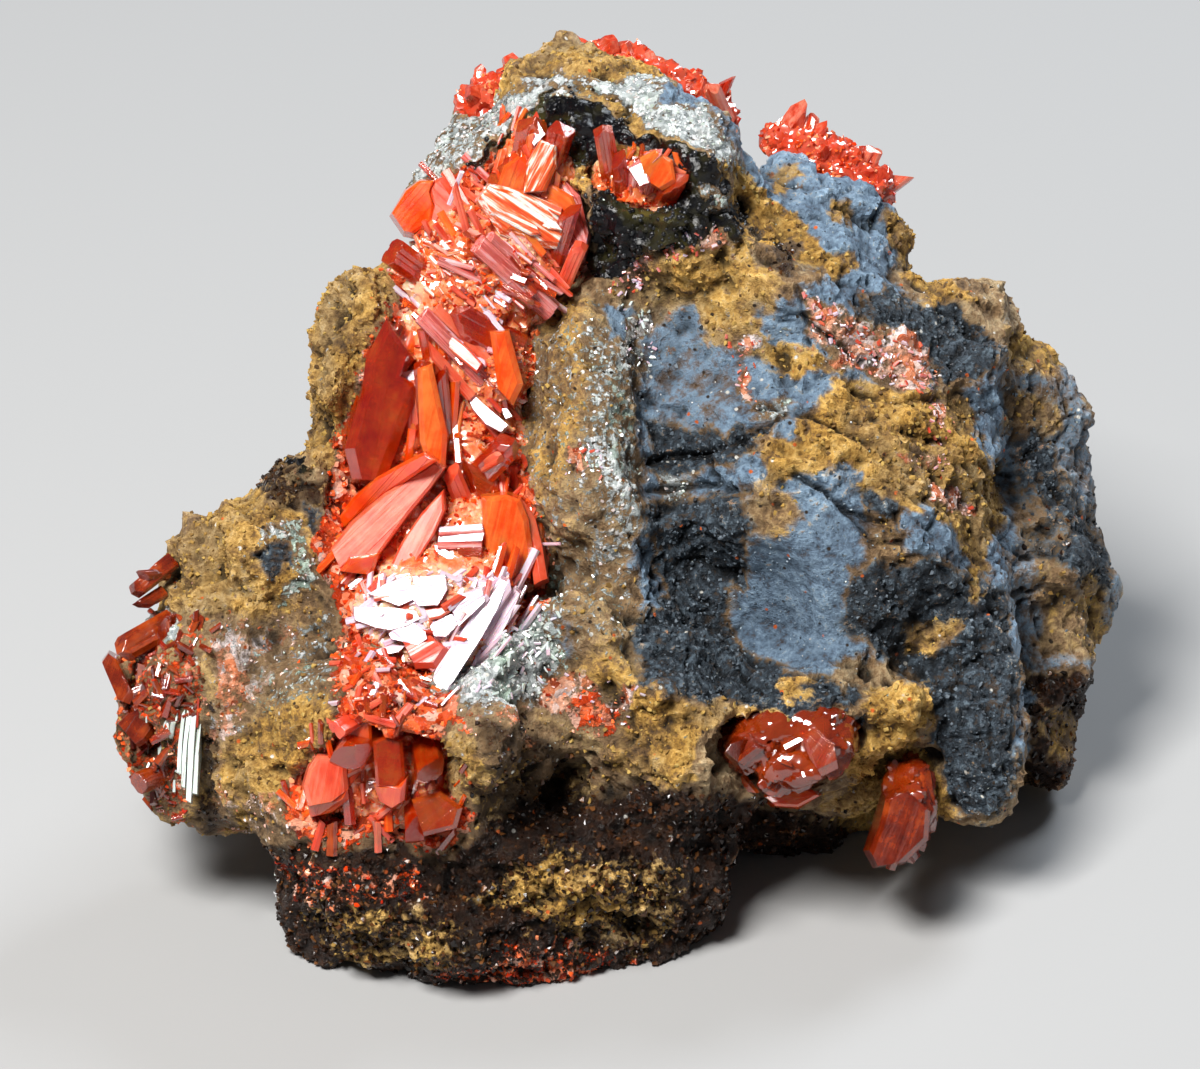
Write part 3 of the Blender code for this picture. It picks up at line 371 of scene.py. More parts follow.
# Each group's crystals by the corners of their front facet in pixels: finish, how proud the facet's middle
# is, its slopes across and up, the crystal's depth, the run of its grain in degrees, corners
FACETS = {
    "seam": (
        ("clear", 0.4, (-0.10, 0.10), 2.4, 80, ((386, 319), (398, 338), (414, 360), (400, 376),
            (421, 388), (406, 421), (394, 455), (384, 482), (352, 478), (345, 448), (352, 424),
            (362, 392), (366, 358))),
        ("pearl", 0.9, GLINT, 0.8, 0, ((398, 374), (422, 367), (420, 387))),
        ("vivid", 0.7, (0.22, 0.15), 2.0, 74, ((417, 369), (432, 364), (447, 434), (445, 468),
            (430, 474), (420, 440))),
        ("satin", 2.2, (0.30, -0.12), 1.9, 42, ((331, 548), (352, 522), (384, 494), (434, 462),
            (444, 468), (430, 488), (409, 513), (379, 554), (352, 557), (341, 570))),
        ("vivid", 1.7, (0.7, 0.5), 1.5, 42, ((322, 541), (338, 519), (352, 499), (372, 480), (404, 462),
            (424, 452), (436, 461), (384, 496), (352, 524), (331, 549), (337, 566))),
        ("vivid", 2.0, (0.1, 0.7), 1.6, 42, ((350, 557), (379, 553), (372, 575), (340, 571))),
        ("pearl", 2.6, GLINT, 0.5, 30, ((389, 479), (400, 471), (410, 471), (405, 479), (391, 485))),
        ("satin", 1.1, (0.36, -0.2), 1.4, 64, ((443, 490), (444, 511), (434, 534), (407, 578),
            (389, 570), (402, 542), (421, 514))),
        ("vivid", 1.1, (-0.14, 0.1), 2.4, 78, ((482, 497), (507, 495), (520, 500), (528, 520),
            (533, 552), (530, 578), (505, 572), (484, 545))),
        ("satin", 1.0, (0.4, -0.25), 2.2, 74, ((508, 496), (523, 501), (535, 519), (542, 547),
            (547, 578), (534, 584), (529, 550), (522, 520))),
        ("pearl", 1.4, GLINT, 1.0, 0, ((439, 527), (482, 524), (483, 529), (439, 532))),
        ("streaked", 1.35, (0.0, 0.1), 1.0, 0, ((439, 532), (483, 529), (484, 533), (439, 536))),
        ("pearl", 1.45, (0.16, -0.25), 1.0, 0, ((439, 536), (484, 533), (482, 541), (438, 542))),
        ("streaked", 1.35, (0.0, 0.0), 1.0, 0, ((438, 542), (482, 541), (481, 550), (438, 549))),
        ("clear", 1.0, (0.1, 0.6), 1.0, 0, ((456, 548), (482, 547), (481, 556), (460, 556))),
        ("pearl", 2.0, GLINT, 0.6, -30, ((434, 545), (440, 546), (464, 561), (456, 564), (437, 553))),
        ("vivid", -0.2, (0.2, 0.35), 2.0, 50, ((392, 213), (406, 191), (419, 181), (434, 181),
            (429, 192), (434, 207), (431, 222), (414, 233), (404, 231))),
        ("satin", 0.1, (-0.05, -0.1), 2.2, -42, ((434, 181), (444, 177), (456, 194), (477, 214),
            (480, 228), (472, 240), (446, 236), (416, 233), (431, 222), (435, 206), (429, 191))),
        ("feathered", 0.0, (-0.1, 0.1), 2.2, -34, ((478, 200), (490, 184), (520, 190), (550, 206),
            (566, 226), (556, 248), (530, 246), (500, 234))),
        ("vivid", 0.3, (0.2, 0.2), 1.8, -34, ((520, 182), (542, 178), (572, 196), (580, 214), (570, 232),
            (548, 210))),
        ("feathered", 0.5, (0.04, -0.1), 1.2, -26, ((498, 190), (508, 184), (562, 208), (560, 216))),
        ("feathered", 0.6, (0.12, -0.2), 1.2, -28, ((492, 202), (502, 196), (556, 222), (562, 230),
            (548, 229))),
        ("feathered", 0.5, (0.0, -0.05), 1.2, -24, ((490, 214), (500, 208), (536, 226), (540, 234),
            (530, 235))),
        ("feathered", 0.7, (0.2, -0.1), 1.2, -30, ((524, 200), (534, 194), (572, 218), (570, 228))),
        ("streaked", 0.0, (0.3, 0.0), 2.0, -55, ((545, 186), (562, 178), (580, 196), (588, 232),
            (584, 258), (566, 262), (562, 226))),
        ("pearl", 0.2, GLINT, 1.2, -60, ((560, 196), (572, 200), (580, 226), (570, 232))),
        ("pearl", 0.9, GLINT, 0.9, -42, ((461, 383), (468, 388), (482, 403), (508, 425), (501, 432),
            (486, 424), (473, 409))),
        ("pearl", 0.7, GLINT, 0.8, -42, ((500, 409), (507, 408), (512, 416), (506, 419))),
        ("vivid", 0.4, (0.15, 0.15), 2.0, 70, ((490, 332), (509, 331), (523, 384), (513, 405), (498, 388))),
        ("pearl", 0.6, GLINT, 0.8, 70, ((500, 330), (510, 336), (512, 348), (504, 344))),
        ("satin", 0.3, (0.1, -0.2), 1.5, -40, ((426, 322), (440, 326), (466, 346), (482, 363),
            (476, 372), (452, 352), (432, 336))),
        ("vivid", -0.3, (0.1, 0.3), 1.6, 70, ((496, 190), (504, 166), (518, 156), (530, 168), (524, 192))),
        ("feathered", -0.2, (-0.2, 0.1), 1.6, 62, ((524, 192), (528, 162), (540, 140), (556, 146),
            (556, 166), (546, 190))),
        ("pearl", 0.3, GLINT, 1.0, 60, ((524, 128), (536, 118), (545, 134), (534, 146))),
        # the cleavage faces that glare white under the seam, by their slopes and by pale shades that paint
        # part of the glare
        ("pearl", 2.2, (0.14, -0.33), 1.4, 8, ((369, 594), (386, 584), (406, 577), (418, 576),
            (421, 596), (412, 600), (399, 606), (379, 598))),
        ("pearl", 2.6, (0.22, -0.27), 1.4, 2, ((420, 577), (445, 575), (447, 590), (438, 605),
            (419, 606), (413, 600))),
        ("pearl", 3.1, (0.18, -0.25), 1.4, 5, ((354, 607), (395, 608), (416, 611), (420, 619),
            (405, 626), (390, 630), (374, 627), (355, 620))),
        ("pearl", 3.8, (0.2, -0.33), 1.5, -40, ((389, 634), (398, 624), (407, 618), (425, 632),
            (427, 639), (418, 645), (392, 639))),
        ("pearl", 3.2, (0.15, -0.25), 1.4, -20, ((430, 626), (441, 618), (452, 614), (458, 624),
            (446, 637), (434, 636))),
        ("pearl", 2.8, (0.22, -0.3), 1.4, 30, ((446, 603), (462, 594), (482, 588), (485, 601),
            (472, 614), (459, 626), (452, 611))),
        ("satin", 2.9, (0.3, -0.4), 1.2, 30, ((424, 608), (440, 606), (450, 612), (440, 618), (430, 620))),
        ("pearl", 4.2, (0.2, -0.3), 1.4, 58, ((427, 695), (436, 669), (458, 637), (482, 603), (500, 578),
            (508, 583), (497, 610), (481, 638), (453, 682), (432, 703))),
        ("pearl", 3.9, (0.26, -0.2), 1.4, 58, ((482, 640), (500, 606), (514, 588), (520, 594),
            (508, 622), (492, 650))),
        ("pearl", 4.4, (0.1, -0.3), 0.7, 10, ((372, 651), (392, 645), (405, 646), (398, 652), (378, 656))),
        ("satin", 4.2, (0.0, -0.1), 1.5, 30, ((402, 640), (430, 636), (448, 650), (436, 668), (416, 668))),
    ),
    "front": (
        ("satin", 6.6, (-0.15, 0.05), 2.2, 80, ((304, 786), (309, 768), (317, 756), (345, 757),
            (348, 789), (331, 802), (309, 806))),
        ("vivid", 6.2, (0.0, 0.8), 1.6, 80, ((308, 805), (332, 801), (347, 790), (348, 800), (331, 812),
            (311, 817))),
        ("clear", 6.9, (-0.12, 0.05), 2.0, 80, ((373, 742), (386, 736), (402, 740), (405, 777),
            (398, 787), (376, 786))),
        ("vivid", 6.6, (0.1, 0.5), 2.0, 80, ((374, 785), (398, 786), (406, 778), (404, 800), (392, 808),
            (380, 801))),
        ("vivid", 6.2, (0.0, 0.2), 1.8, 60, ((346, 722), (358, 708), (371, 716), (372, 752), (362, 770),
            (350, 756))),
        ("clear", 5.6, (0.0, 0.1), 1.8, 40, ((412, 800), (440, 792), (462, 808), (456, 828), (424, 836))),
    ),
    "left": (
        ("deep", -0.6, (0.4, 0.0), 1.6, 65, ((102, 663), (108, 654), (116, 659), (133, 694), (129, 704),
            (118, 700))),
        ("deep", 0.0, (0.3, 0.1), 1.6, 55, ((118, 724), (128, 714), (142, 708), (154, 731), (146, 742),
            (138, 747))),
        ("pearl", -0.2, GLINT, 0.6, 60, ((110, 658), (116, 656), (120, 664), (115, 666))),
    ),
    "left_blade": (
        ("frost", 1.7, (-0.05, -0.1), 1.0, 82, ((177, 772), (178, 745), (182, 714), (185, 709),
            (185, 716), (182, 745), (181, 774))),
        ("frost", 1.9, (0.08, -0.16), 1.1, 82, ((181, 786), (183, 745), (187, 710), (190, 704),
            (191, 714), (187, 745), (185, 788))),
        ("frost", 2.0, (0.0, -0.1), 1.2, 84, ((186, 800), (188, 745), (192, 704), (196, 693), (197, 706),
            (194, 745), (191, 803))),
        ("frost", 1.7, (0.28, -0.16), 1.0, 84, ((192, 793), (195, 745), (198, 722), (201, 716),
            (201, 726), (199, 750), (197, 794))),
    ),
    "red_knob": (
        ("clear", 3.3, (0.05, -0.1), 2.8, 60, ((800, 732), (814, 726), (834, 745), (838, 768),
            (822, 776), (810, 758))),
        ("vivid", 4.3, (0.12, -0.12), 2.2, 10, ((764, 796), (776, 788), (790, 784), (812, 790),
            (819, 796), (798, 807), (776, 806))),
    ),
    "drip": (
        ("deep", 0.9, (0.1, 0.2), 2.6, 70, ((886, 800), (908, 792), (930, 812), (928, 840), (905, 862),
            (878, 866), (870, 850), (880, 826))),
    ),
    "black": (
        ("vivid", 1.3, (0.1, 0.2), 1.8, 60, ((640, 158), (655, 150), (672, 160), (676, 182), (662, 190),
            (646, 180))),
        ("streaked", 1.4, (0.15, -0.2), 1.8, 66, ((628, 168), (644, 160), (650, 182), (640, 186))),
    ),
}

# Each group's sheaves of splinters, which grow on what the camera sees in an outline of pixels: finishes to
# draw from, the run of their length in degrees, its spread, how many, least and most length, width as a
# share of length, lift off the surface, corners
SHEAVES = {
    "seam": (
        (("vivid", "clear", "satin", "streaked"), -42, 14, 60, 0.7, 2.3, 0.2, 0.25, ((430, 178),
            (500, 160), (572, 190), (585, 262), (545, 300), (430, 262))),
        (("feathered", "feathered", "vivid", "satin"), -35, 30, 60, 0.25, 0.8, 0.35, 0.2, ((396, 236),
            (440, 232), (484, 262), (500, 292), (420, 300))),
        (("feathered", "pearl", "satin"), -26, 9, 44, 0.4, 1.2, 0.14, 0.12, ((490, 190), (545, 184),
            (562, 210), (545, 244), (500, 236))),
        (("clear", "satin", "streaked"), -42, 9, 26, 1.0, 2.6, 0.14, 0.12, ((480, 240), (524, 236),
            (552, 300), (530, 318), (490, 270))),
        (("pearl", "satin", "clear"), -40, 12, 55, 0.5, 1.8, 0.18, 0.2, ((400, 290), (520, 292),
            (516, 350), (500, 395), (430, 345))),
        (("vivid", "vivid", "clear"), 86, 7, 30, 1.2, 3.2, 0.16, 0.1, ((410, 345), (455, 340),
            (462, 440), (444, 475), (405, 465))),
        (("clear", "deep"), 76, 6, 14, 1.5, 3.2, 0.14, 0.05, ((350, 400), (368, 360), (388, 330),
            (408, 360), (400, 440), (380, 478), (350, 470))),
        (("vivid", "clear", "satin"), 43, 7, 26, 1.2, 3.4, 0.13, 0.05, ((330, 545), (352, 500),
            (420, 452), (446, 470), (420, 520), (375, 572), (340, 572))),
        (("vivid", "clear", "satin"), -30, 40, 44, 0.5, 1.6, 0.3, 0.3, ((445, 400), (510, 385),
            (515, 430), (535, 490), (480, 505), (446, 480))),
        (("vivid", "vivid", "satin"), 78, 10, 30, 0.9, 2.4, 0.18, 0.1, ((482, 498), (525, 498),
            (545, 545), (545, 582), (490, 578))),
        (("pearl", "pearl", "satin"), 12, 40, 110, 0.3, 1.2, 0.34, 0.12, ((352, 585), (400, 572),
            (500, 576), (505, 600), (455, 648), (390, 645), (350, 625))),
        (("pearl", "pearl", "streaked"), 58, 7, 26, 1.0, 3.2, 0.13, 0.1, ((500, 580), (545, 590),
            (520, 640), (455, 700), (428, 698), (450, 640))),
        (("frost", "frost", "pearl"), 40, 60, 90, 0.16, 0.5, 0.4, 0.4, ((500, 590), (560, 595),
            (560, 660), (520, 700), (470, 690))),
        (("satin", "vivid", "clear", "pearl"), 5, 80, 80, 0.25, 0.8, 0.4, 0.5, ((335, 640), (440, 645),
            (440, 705), (400, 715), (330, 705))),
        (("vivid", "vivid", "satin"), 62, 24, 34, 0.5, 1.5, 0.3, 0.5, ((500, 118), (545, 108),
            (562, 160), (560, 190), (498, 188))),
    ),
    "front": (
        (("vivid", "deep", "clear", "satin"), 76, 36, 80, 0.4, 1.7, 0.3, 0.35, ((300, 715), (400, 705),
            (470, 760), (460, 840), (330, 850), (285, 800))),
    ),
    "left": (
        (("deep", "deep", "clear"), 60, 50, 110, 0.25, 0.9, 0.42, 0.4, ((104, 640), (150, 605),
            (215, 625), (200, 700), (165, 760), (195, 830), (140, 800), (112, 720))),
        (("frost", "deep", "deep"), 84, 30, 26, 0.3, 0.9, 0.25, 0.2, ((140, 720), (175, 700), (180, 790),
            (150, 800))),
    ),
    "left_blade": (
        (("frost", "frost", "rose"), 83, 4, 12, 0.8, 2.0, 0.09, 0.05, ((172, 705), (206, 700),
            (200, 790), (172, 790))),
    ),
    "veinlets": (
        (("pearl", "streaked", "satin"), -35, 60, 90, 0.1, 0.3, 0.6, 0.6, ((800, 292), (830, 300),
            (880, 335), (925, 345), (935, 395), (900, 392), (850, 365), (812, 335))),
        (("streaked", "satin"), -60, 60, 26, 0.1, 0.24, 0.7, 0.6, ((925, 398), (950, 404), (950, 450),
            (975, 515), (955, 515), (930, 480))),
        (("pearl", "frost"), 30, 60, 26, 0.1, 0.26, 0.6, 0.5, ((618, 300), (655, 298), (655, 375),
            (620, 360))),
        (("pearl", "satin", "frost"), 0, 90, 22, 0.1, 0.26, 0.6, 0.5, ((560, 446), (606, 440),
            (600, 480), (565, 474))),
        (("satin", "streaked", "pearl"), 0, 90, 50, 0.1, 0.3, 0.6, 0.5, ((605, 290), (640, 256),
            (720, 220), (722, 244), (660, 268), (625, 300))),
        (("satin", "clear", "pearl"), 0, 90, 24, 0.1, 0.26, 0.6, 0.4, ((545, 668), (640, 684),
            (655, 730), (590, 735), (540, 705))),
        (("streaked", "satin"), 0, 90, 22, 0.1, 0.26, 0.6, 0.4, ((725, 335), (762, 340), (756, 398),
            (738, 392))),
    ),
    "red_knob": (
        (("deep",), 60, 60, 4, 0.5, 1.2, 0.5, 0.3, ((728, 732), (840, 728), (845, 775), (790, 800),
            (740, 790))),
    ),
    "drip": (
        (("deep",), 75, 20, 12, 0.6, 1.6, 0.3, 0.2, ((884, 800), (926, 812), (925, 845), (880, 862))),
    ),
    "black": (
        (("vivid", "satin", "clear"), 55, 60, 90, 0.2, 0.7, 0.5, 0.5, ((604, 150), (640, 145),
            (690, 165), (680, 195), (620, 195))),
    ),
}

# Rows of small crystals on the rims: finish, ends of the row, way they point, how many, length, width, seed
ROWS = {
    "summit": ("rose", (-0.6, 22.2, -8.4), (5.6, 19.4, -8.4), (0.3, 1.0, 0.1), 26, 1.9, 0.9, 61),
    "summit_left": ("rose", (-5.6, 20.2, -7.6), (-3.2, 21.5, -8), (-0.4, 1.0, 0.2), 9, 1.5, 0.8, 62),
    "shoulder": ("rose", (8.2, 18.6, -9.8), (13.0, 15.8, -10.2), (0.4, 1.0, 0.1), 24, 1.9, 0.9, 63),
}

# Massive crocoite that each group's crystals stand in: finish, lumps by middle, half sizes and turn
MASSES = {
    "seam": ("sugar", (
        ((-3.1, 15.4, -2.8), (1.7, 3.2, 1.6), -8),
        ((-5.2, 11.8, -2.6), (3.4, 2.9, 2.2), 30),
        ((-6.2, 8.0, -2.6), (3.0, 3.2, 2.1), 16),
        ((-6.8, 3.8, -2.8), (3.3, 3.6, 1.9), 0),
        ((-6.6, -0.6, -1.8), (4.0, 2.6, 2.1), 0),
        ((-6.8, -2.6, 0.0), (3.2, 2.0, 1.9), 0),
        ((-7.4, -3.8, 1.4), (3.4, 2.2, 2.0), -10),
    )),
    "front": ("sugar", (
        ((-9.4, -10.4, 2.4), (3.0, 2.4, 1.7), -8),
    )),
    "left": ("deep", (
        ((-19.4, -7.2, -2.6), (1.5, 2.4, 1.4), 0),
    )),
    "red_knob": ("deep", (
        ((8.6, -8.6, -1.2), (2.6, 1.4, 2.4), 0),
        ((7.5, -9.0, 0.6), (1.7, 1.2, 1.9), 30),
        ((9.8, -9.0, 0.9), (1.6, 1.3, 1.9), -20),
        ((8.7, -10.6, 1.4), (1.3, 0.7, 1.2), 10),
    )),
    "drip": ("deep", (
        ((14.0, -11.4, -2.2), (0.9, 1.2, 0.8), 0),
        ((13.9, -12.9, -1.0), (0.8, 1.5, 0.9), -14),
    )),
    "black": ("sugar", (
        ((1.7, 15.4, -1.4), (1.9, 1.3, 1.0), -20),
    )),
    "summit": ("rose", (
        ((2.4, 20.7, -8.7), (4.2, 1.1, 1.3), -24),
    )),
    "summit_left": ("rose", (
        ((-4.6, 20.2, -8), (1.8, 1.0, 1.2), 24),
    )),
    "shoulder": ("rose", (
        ((10.6, 17.1, -10.3), (3.2, 1.1, 1.3), -30),
    )),
}

# Where the massive crocoite is pale and pearly, partly its own colour and partly painted glare, by the
# corners of the patches in pixels
PALE_AND_GLARING = (
    ((345, 578), (400, 566), (500, 570), (520, 600), (460, 655), (390, 655), (350, 640)),
    ((330, 645), (466, 648), (484, 700), (440, 722), (330, 710)),
    ((270, 790), (330, 820), (400, 826), (480, 810), (480, 860), (300, 870), (270, 840)),
    ((485, 180), (550, 176), (566, 214), (540, 250), (495, 240)),
    ((370, 244), (420, 240), (425, 320), (385, 330), (366, 290)),
)

# Groups whose massive crocoite is glassy, with no loose grains on it, and those that are pale in places,
# partly as painted glare
GLASSY = ("red_knob", "drip")
PALE = ("seam", "front")

# The massive crocoite's skin
MASS_VOXEL = 0.16
MASS_GROWTH = 0.45  # mm that a lump stands out from its half sizes, before its grains are worked into it

# What covers the rock: piece, kind and number of shapes, finish, coat that it follows, most to a square mm,
# least distance in mm, least and most size in mm, lean in radians, seed
ON_ROCK = (
    ("gossan_crumbs", "crumb", 6, "ochre_crumb", "ochre", 7.4, 0.14, 0.06, 0.34, 0.6, 11),
    ("gossan_beads", "bead", 3, "manganese_bead", "pitch", 7.0, 0.1, 0.06, 0.3, 0.4, 12),
    ("gossan_spangles", "flake", 4, "silvery_spangle", "silver", 16.0, 0.1, 0.07, 0.22, 0.9, 13),
    ("gossan_chips", "crumb", 5, "slate_chip", "slate", 4.0, 0.12, 0.04, 0.16, 0.9, 14),
    ("gossan_soot_grains", "crumb", 5, "soot_grain", "soot", 9.0, 0.12, 0.06, 0.24, 0.9, 15),
    ("gossan_red_grains", "crumb", 6, "crocoite_grain", "crocoite", 9.0, 0.14, 0.08, 0.36, 1.0, 16),
    ("gossan_umber_crumbs", "crumb", 6, "umber_crumb", "umber", 9.0, 0.16, 0.08, 0.4, 0.8, 18),
    ("gossan_blush_grains", "flake", 5, "pearl_grain", "blush", 14.0, 0.09, 0.05, 0.2, 1.0, 19),
    ("gossan_sparkles", "flake", 4, "silvery_spangle", "sparkle", 0.9, 0.2, 0.05, 0.12, 0.9, 17),
)

# What covers massive crocoite, in the same way: grit and druse take the group's own grain, and the group's
# number is added to their seeds
GRIT = ("crumb", 6, "grit", 12.0, 0.1, 0.05, 0.3, 1.0, 30)
DRUSE = ("splinter", 5, "grit", 4.0, 0.16, 0.08, 0.26, 0.9, 60)
# pale grit: pale pinkish-white grains where the crocoite is made pale, partly painted glare
PALE_GRIT = ("flake", 5, "pale", 16.0, 0.1, 0.08, 0.4, 0.8, 90)
SIZE_SEED, TINT_SEED = 7, 3
NOISE_SEED = 5  # for the tilts of broken grains, which would else follow the clock

# Loose grains' finishes: roughness, metal, shades from dark to pale
GRAIN_NOISE, GRAIN_BUMP = (3000, 4, 0.6), (0.4, 0.00005)
GRAIN_FINISHES = {
    "ochre_crumb": (0.75, 0.0, ((0.08, 0.038, 0.008), (0.22, 0.12, 0.024), (0.36, 0.21, 0.042),
        (0.45, 0.3, 0.08))),
    # the umber crumbs are near-black, partly painted shade on the foot
    "umber_crumb": (0.16, 0.0, ((0.004, 0.002, 0.0015), (0.01, 0.004, 0.002), (0.02, 0.007, 0.003),
        (0.04, 0.014, 0.005), (0.16, 0.06, 0.016))),
    "manganese_bead": (0.08, 0.0, ((0.004, 0.004, 0.005), (0.012, 0.012, 0.014), (0.03, 0.032, 0.036))),
    "soot_grain": (0.6, 0.0, ((0.008, 0.009, 0.012), (0.026, 0.033, 0.043), (0.06, 0.08, 0.1),
        (0.13, 0.16, 0.19))),
    "silvery_spangle": (0.12, 0.2, ((0.3, 0.33, 0.35), (0.42, 0.5, 0.42), (0.6, 0.64, 0.6),
        (0.6, 0.5, 0.47), (0.8, 0.84, 0.86))),
    "slate_chip": (0.4, 0.0, ((0.015, 0.02, 0.026), (0.06, 0.085, 0.11), (0.13, 0.18, 0.23),
        (0.3, 0.36, 0.4))),
    "crocoite_grain": (0.1, 0.0, ((0.35, 0.01, 0.001), (0.62, 0.035, 0.002), (0.8, 0.09, 0.012),
        (0.86, 0.18, 0.05), (0.9, 0.3, 0.14), (0.92, 0.5, 0.36))),
    "garnet_red_grain": (0.06, 0.0, ((0.04, 0.001, 0.0004), (0.1, 0.003, 0.0006), (0.22, 0.008, 0.001),
        (0.5, 0.04, 0.006), (0.75, 0.3, 0.2))),
    "pearl_grain": (0.15, 0.0, ((0.62, 0.14, 0.05), (0.78, 0.34, 0.2), (0.84, 0.56, 0.5),
        (0.9, 0.84, 0.86))),
}

# Crocoite: its finish where it is massive, and the noises of its streaks and veils there and on crystals
CROCOITE_IOR = 2.3
CROCOITE_BUMP = (0.35, 0.00008)
MASSIVE = "sugar"
MASSIVE_NOISES = (1800, 5, 0.65), (500, 4, 0.6)
CRYSTAL_NOISES = (5.5, 5, 0.65), (0.9, 4, 0.6)
STREAK_STRETCH = (1.0, 1.0, 0.06)  # the grain runs along z
TINT_SHARE = 0.14
GLOW_RADIUS, GLOW_REACH = (1.0, 0.22, 0.06), 0.0009

# Crocoite's finishes: how clear, rough, glowing, streaky and shiny it is, the softness of its streaks, and
# its shades from deep to pale
CROCOITE_FINISHES = {
    "clear": (0.72, 0.03, 0.15, 0.2, 0.4, 0.17, ((0.62, 0.014, 0.001), (0.84, 0.054, 0.002),
        (0.95, 0.14, 0.01))),
    "vivid": (0.2, 0.04, 0.5, 0.4, 0.4, 0.17, ((0.78, 0.03, 0.001), (0.92, 0.082, 0.003),
        (0.97, 0.2, 0.03))),
    "satin": (0.2, 0.26, 0.35, 0.35, 0.3, 0.17, ((0.62, 0.02, 0.004), (0.82, 0.07, 0.02),
        (0.9, 0.18, 0.09))),
    # streaked: orange-red to pale pink, whose pale bands paint part of a sheen
    "streaked": (0.15, 0.2, 0.3, 0.8, 0.35, 0.17, ((0.45, 0.03, 0.02), (0.8, 0.2, 0.17),
        (0.92, 0.62, 0.66))),
    # pearl: pale lilac-pink shades that partly paint the white glare of cleavage faces on orange-red
    # crystals
    "pearl": (0.12, 0.13, 0.2, 0.7, 0.5, 0.17, ((0.72, 0.36, 0.42), (0.8, 0.56, 0.66),
        (0.86, 0.76, 0.86))),
    # feathered: orange with pale cream streaks that paint the white glints of broken striations
    "feathered": (0.1, 0.18, 0.3, 0.9, 0.4, 0.075, ((0.74, 0.06, 0.005), (0.86, 0.2, 0.06),
        (0.95, 0.86, 0.78))),
    "frost": (0.1, 0.18, 0.1, 0.85, 0.4, 0.17, ((0.3, 0.3, 0.22), (0.64, 0.72, 0.67), (0.86, 0.93, 0.9))),
    "deep": (0.45, 0.03, 0.12, 0.3, 0.35, 0.17, ((0.1, 0.004, 0.0005), (0.3, 0.024, 0.0015),
        (0.68, 0.1, 0.01))),
    "rose": (0.3, 0.1, 0.3, 0.55, 0.4, 0.17, ((0.35, 0.01, 0.004), (0.75, 0.06, 0.015),
        (0.86, 0.26, 0.16))),
    "sugar": (0.15, 0.16, 0.5, 0.55, 0.4, 0.17, ((0.6, 0.04, 0.004), (0.88, 0.2, 0.06),
        (0.92, 0.5, 0.3))),
}

# The rock's noises: scale, detail, roughness; and the shares of them that fray its coats and that mottle it
GOSSAN_NOISES = {"fine": (2600, 6, 0.7), "middle": (900, 6, 0.65), "broad": (260, 4, 0.6)}
DRIFT_NOISE = (190, 5, 0.6)
RAGGED_SHARES, MOTTLED_SHARES = (0.4, 0.35, 0.25), (0.45, 0.3, 0.25)
CELL_SCALE, GRAIN_SCALE, SPOT_SCALE = 4200, 1900, 2600
CONVEX_GAIN = (1.9, 1.9, 1.85, 1)  # how much brighter the skin's convex points are
COAT_SHARE = 0.86  # of what the mesh holds of a coat, how much counts before a noise frays it
GOSSAN_BUMP = (1.0, 0.00035)  # strength, and distance in metres

# The shades of bare gossan and of each coat, from dark to pale: place on the ramp, colour
SHADES = {
    "bare": ((0.3, (0.045, 0.024, 0.012)), (0.46, (0.23, 0.14, 0.068)), (0.58, (0.44, 0.32, 0.18)),
        (0.74, (0.66, 0.56, 0.4))),
    # umber: near-black brown, partly the rock's own colour and partly painted shade
    "umber": ((0.3, (0.004, 0.002, 0.0015)), (0.48, (0.016, 0.007, 0.004)), (0.62, (0.05, 0.018, 0.006)),
        (0.78, (0.24, 0.1, 0.03))),
    "slate": ((0.30, (0.02, 0.028, 0.04)), (0.42, (0.092, 0.138, 0.2)), (0.55, (0.2, 0.29, 0.395)),
        (0.72, (0.42, 0.54, 0.64))),
    # soot: near-black, mostly the crust's own colour and partly painted shade on the far lobe
    "soot": ((0.3, (0.004, 0.004, 0.005)), (0.5, (0.03, 0.04, 0.052)), (0.62, (0.1, 0.135, 0.17)),
        (0.75, (0.26, 0.32, 0.38))),
    "ochre": ((0.28, (0.03, 0.014, 0.003)), (0.38, (0.16, 0.076, 0.013)), (0.48, (0.42, 0.228, 0.048)),
        (0.58, (0.66, 0.4, 0.11)), (0.72, (0.86, 0.66, 0.32))),
    "tan": ((0.30, (0.035, 0.018, 0.007)), (0.42, (0.15, 0.085, 0.03)), (0.55, (0.36, 0.235, 0.1)),
        (0.74, (0.66, 0.52, 0.3))),
    "crocoite": ((0.1, (0.22, 0.012, 0.002)), (0.35, (0.62, 0.055, 0.008)), (0.6, (0.8, 0.14, 0.04)),
        (0.8, (0.85, 0.4, 0.26)), (1.0, (0.9, 0.75, 0.7))),
    "blush": ((0.1, (0.42, 0.07, 0.025)), (0.35, (0.72, 0.24, 0.11)), (0.6, (0.84, 0.46, 0.32)),
        (0.85, (0.9, 0.78, 0.76))),
    "silver": ((0.1, (0.2, 0.22, 0.22)), (0.4, (0.42, 0.46, 0.46)), (0.7, (0.66, 0.7, 0.7)),
        (0.95, (0.9, 0.92, 0.93))),
    "pitch": ((0.5, (0.004, 0.004, 0.005)), (0.62, (0.03, 0.026, 0.008)), (0.7, (0.12, 0.09, 0.02))),
}

# What tones the silver coat where the rock's colour drifts: from and to which drift, how much, tone
SILVER_TONES = ((0.56, 0.64, 0.5, (0.8, 0.56, 0.48, 1)), (0.48, 0.4, 0.8, (0.62, 0.8, 0.62, 1)))

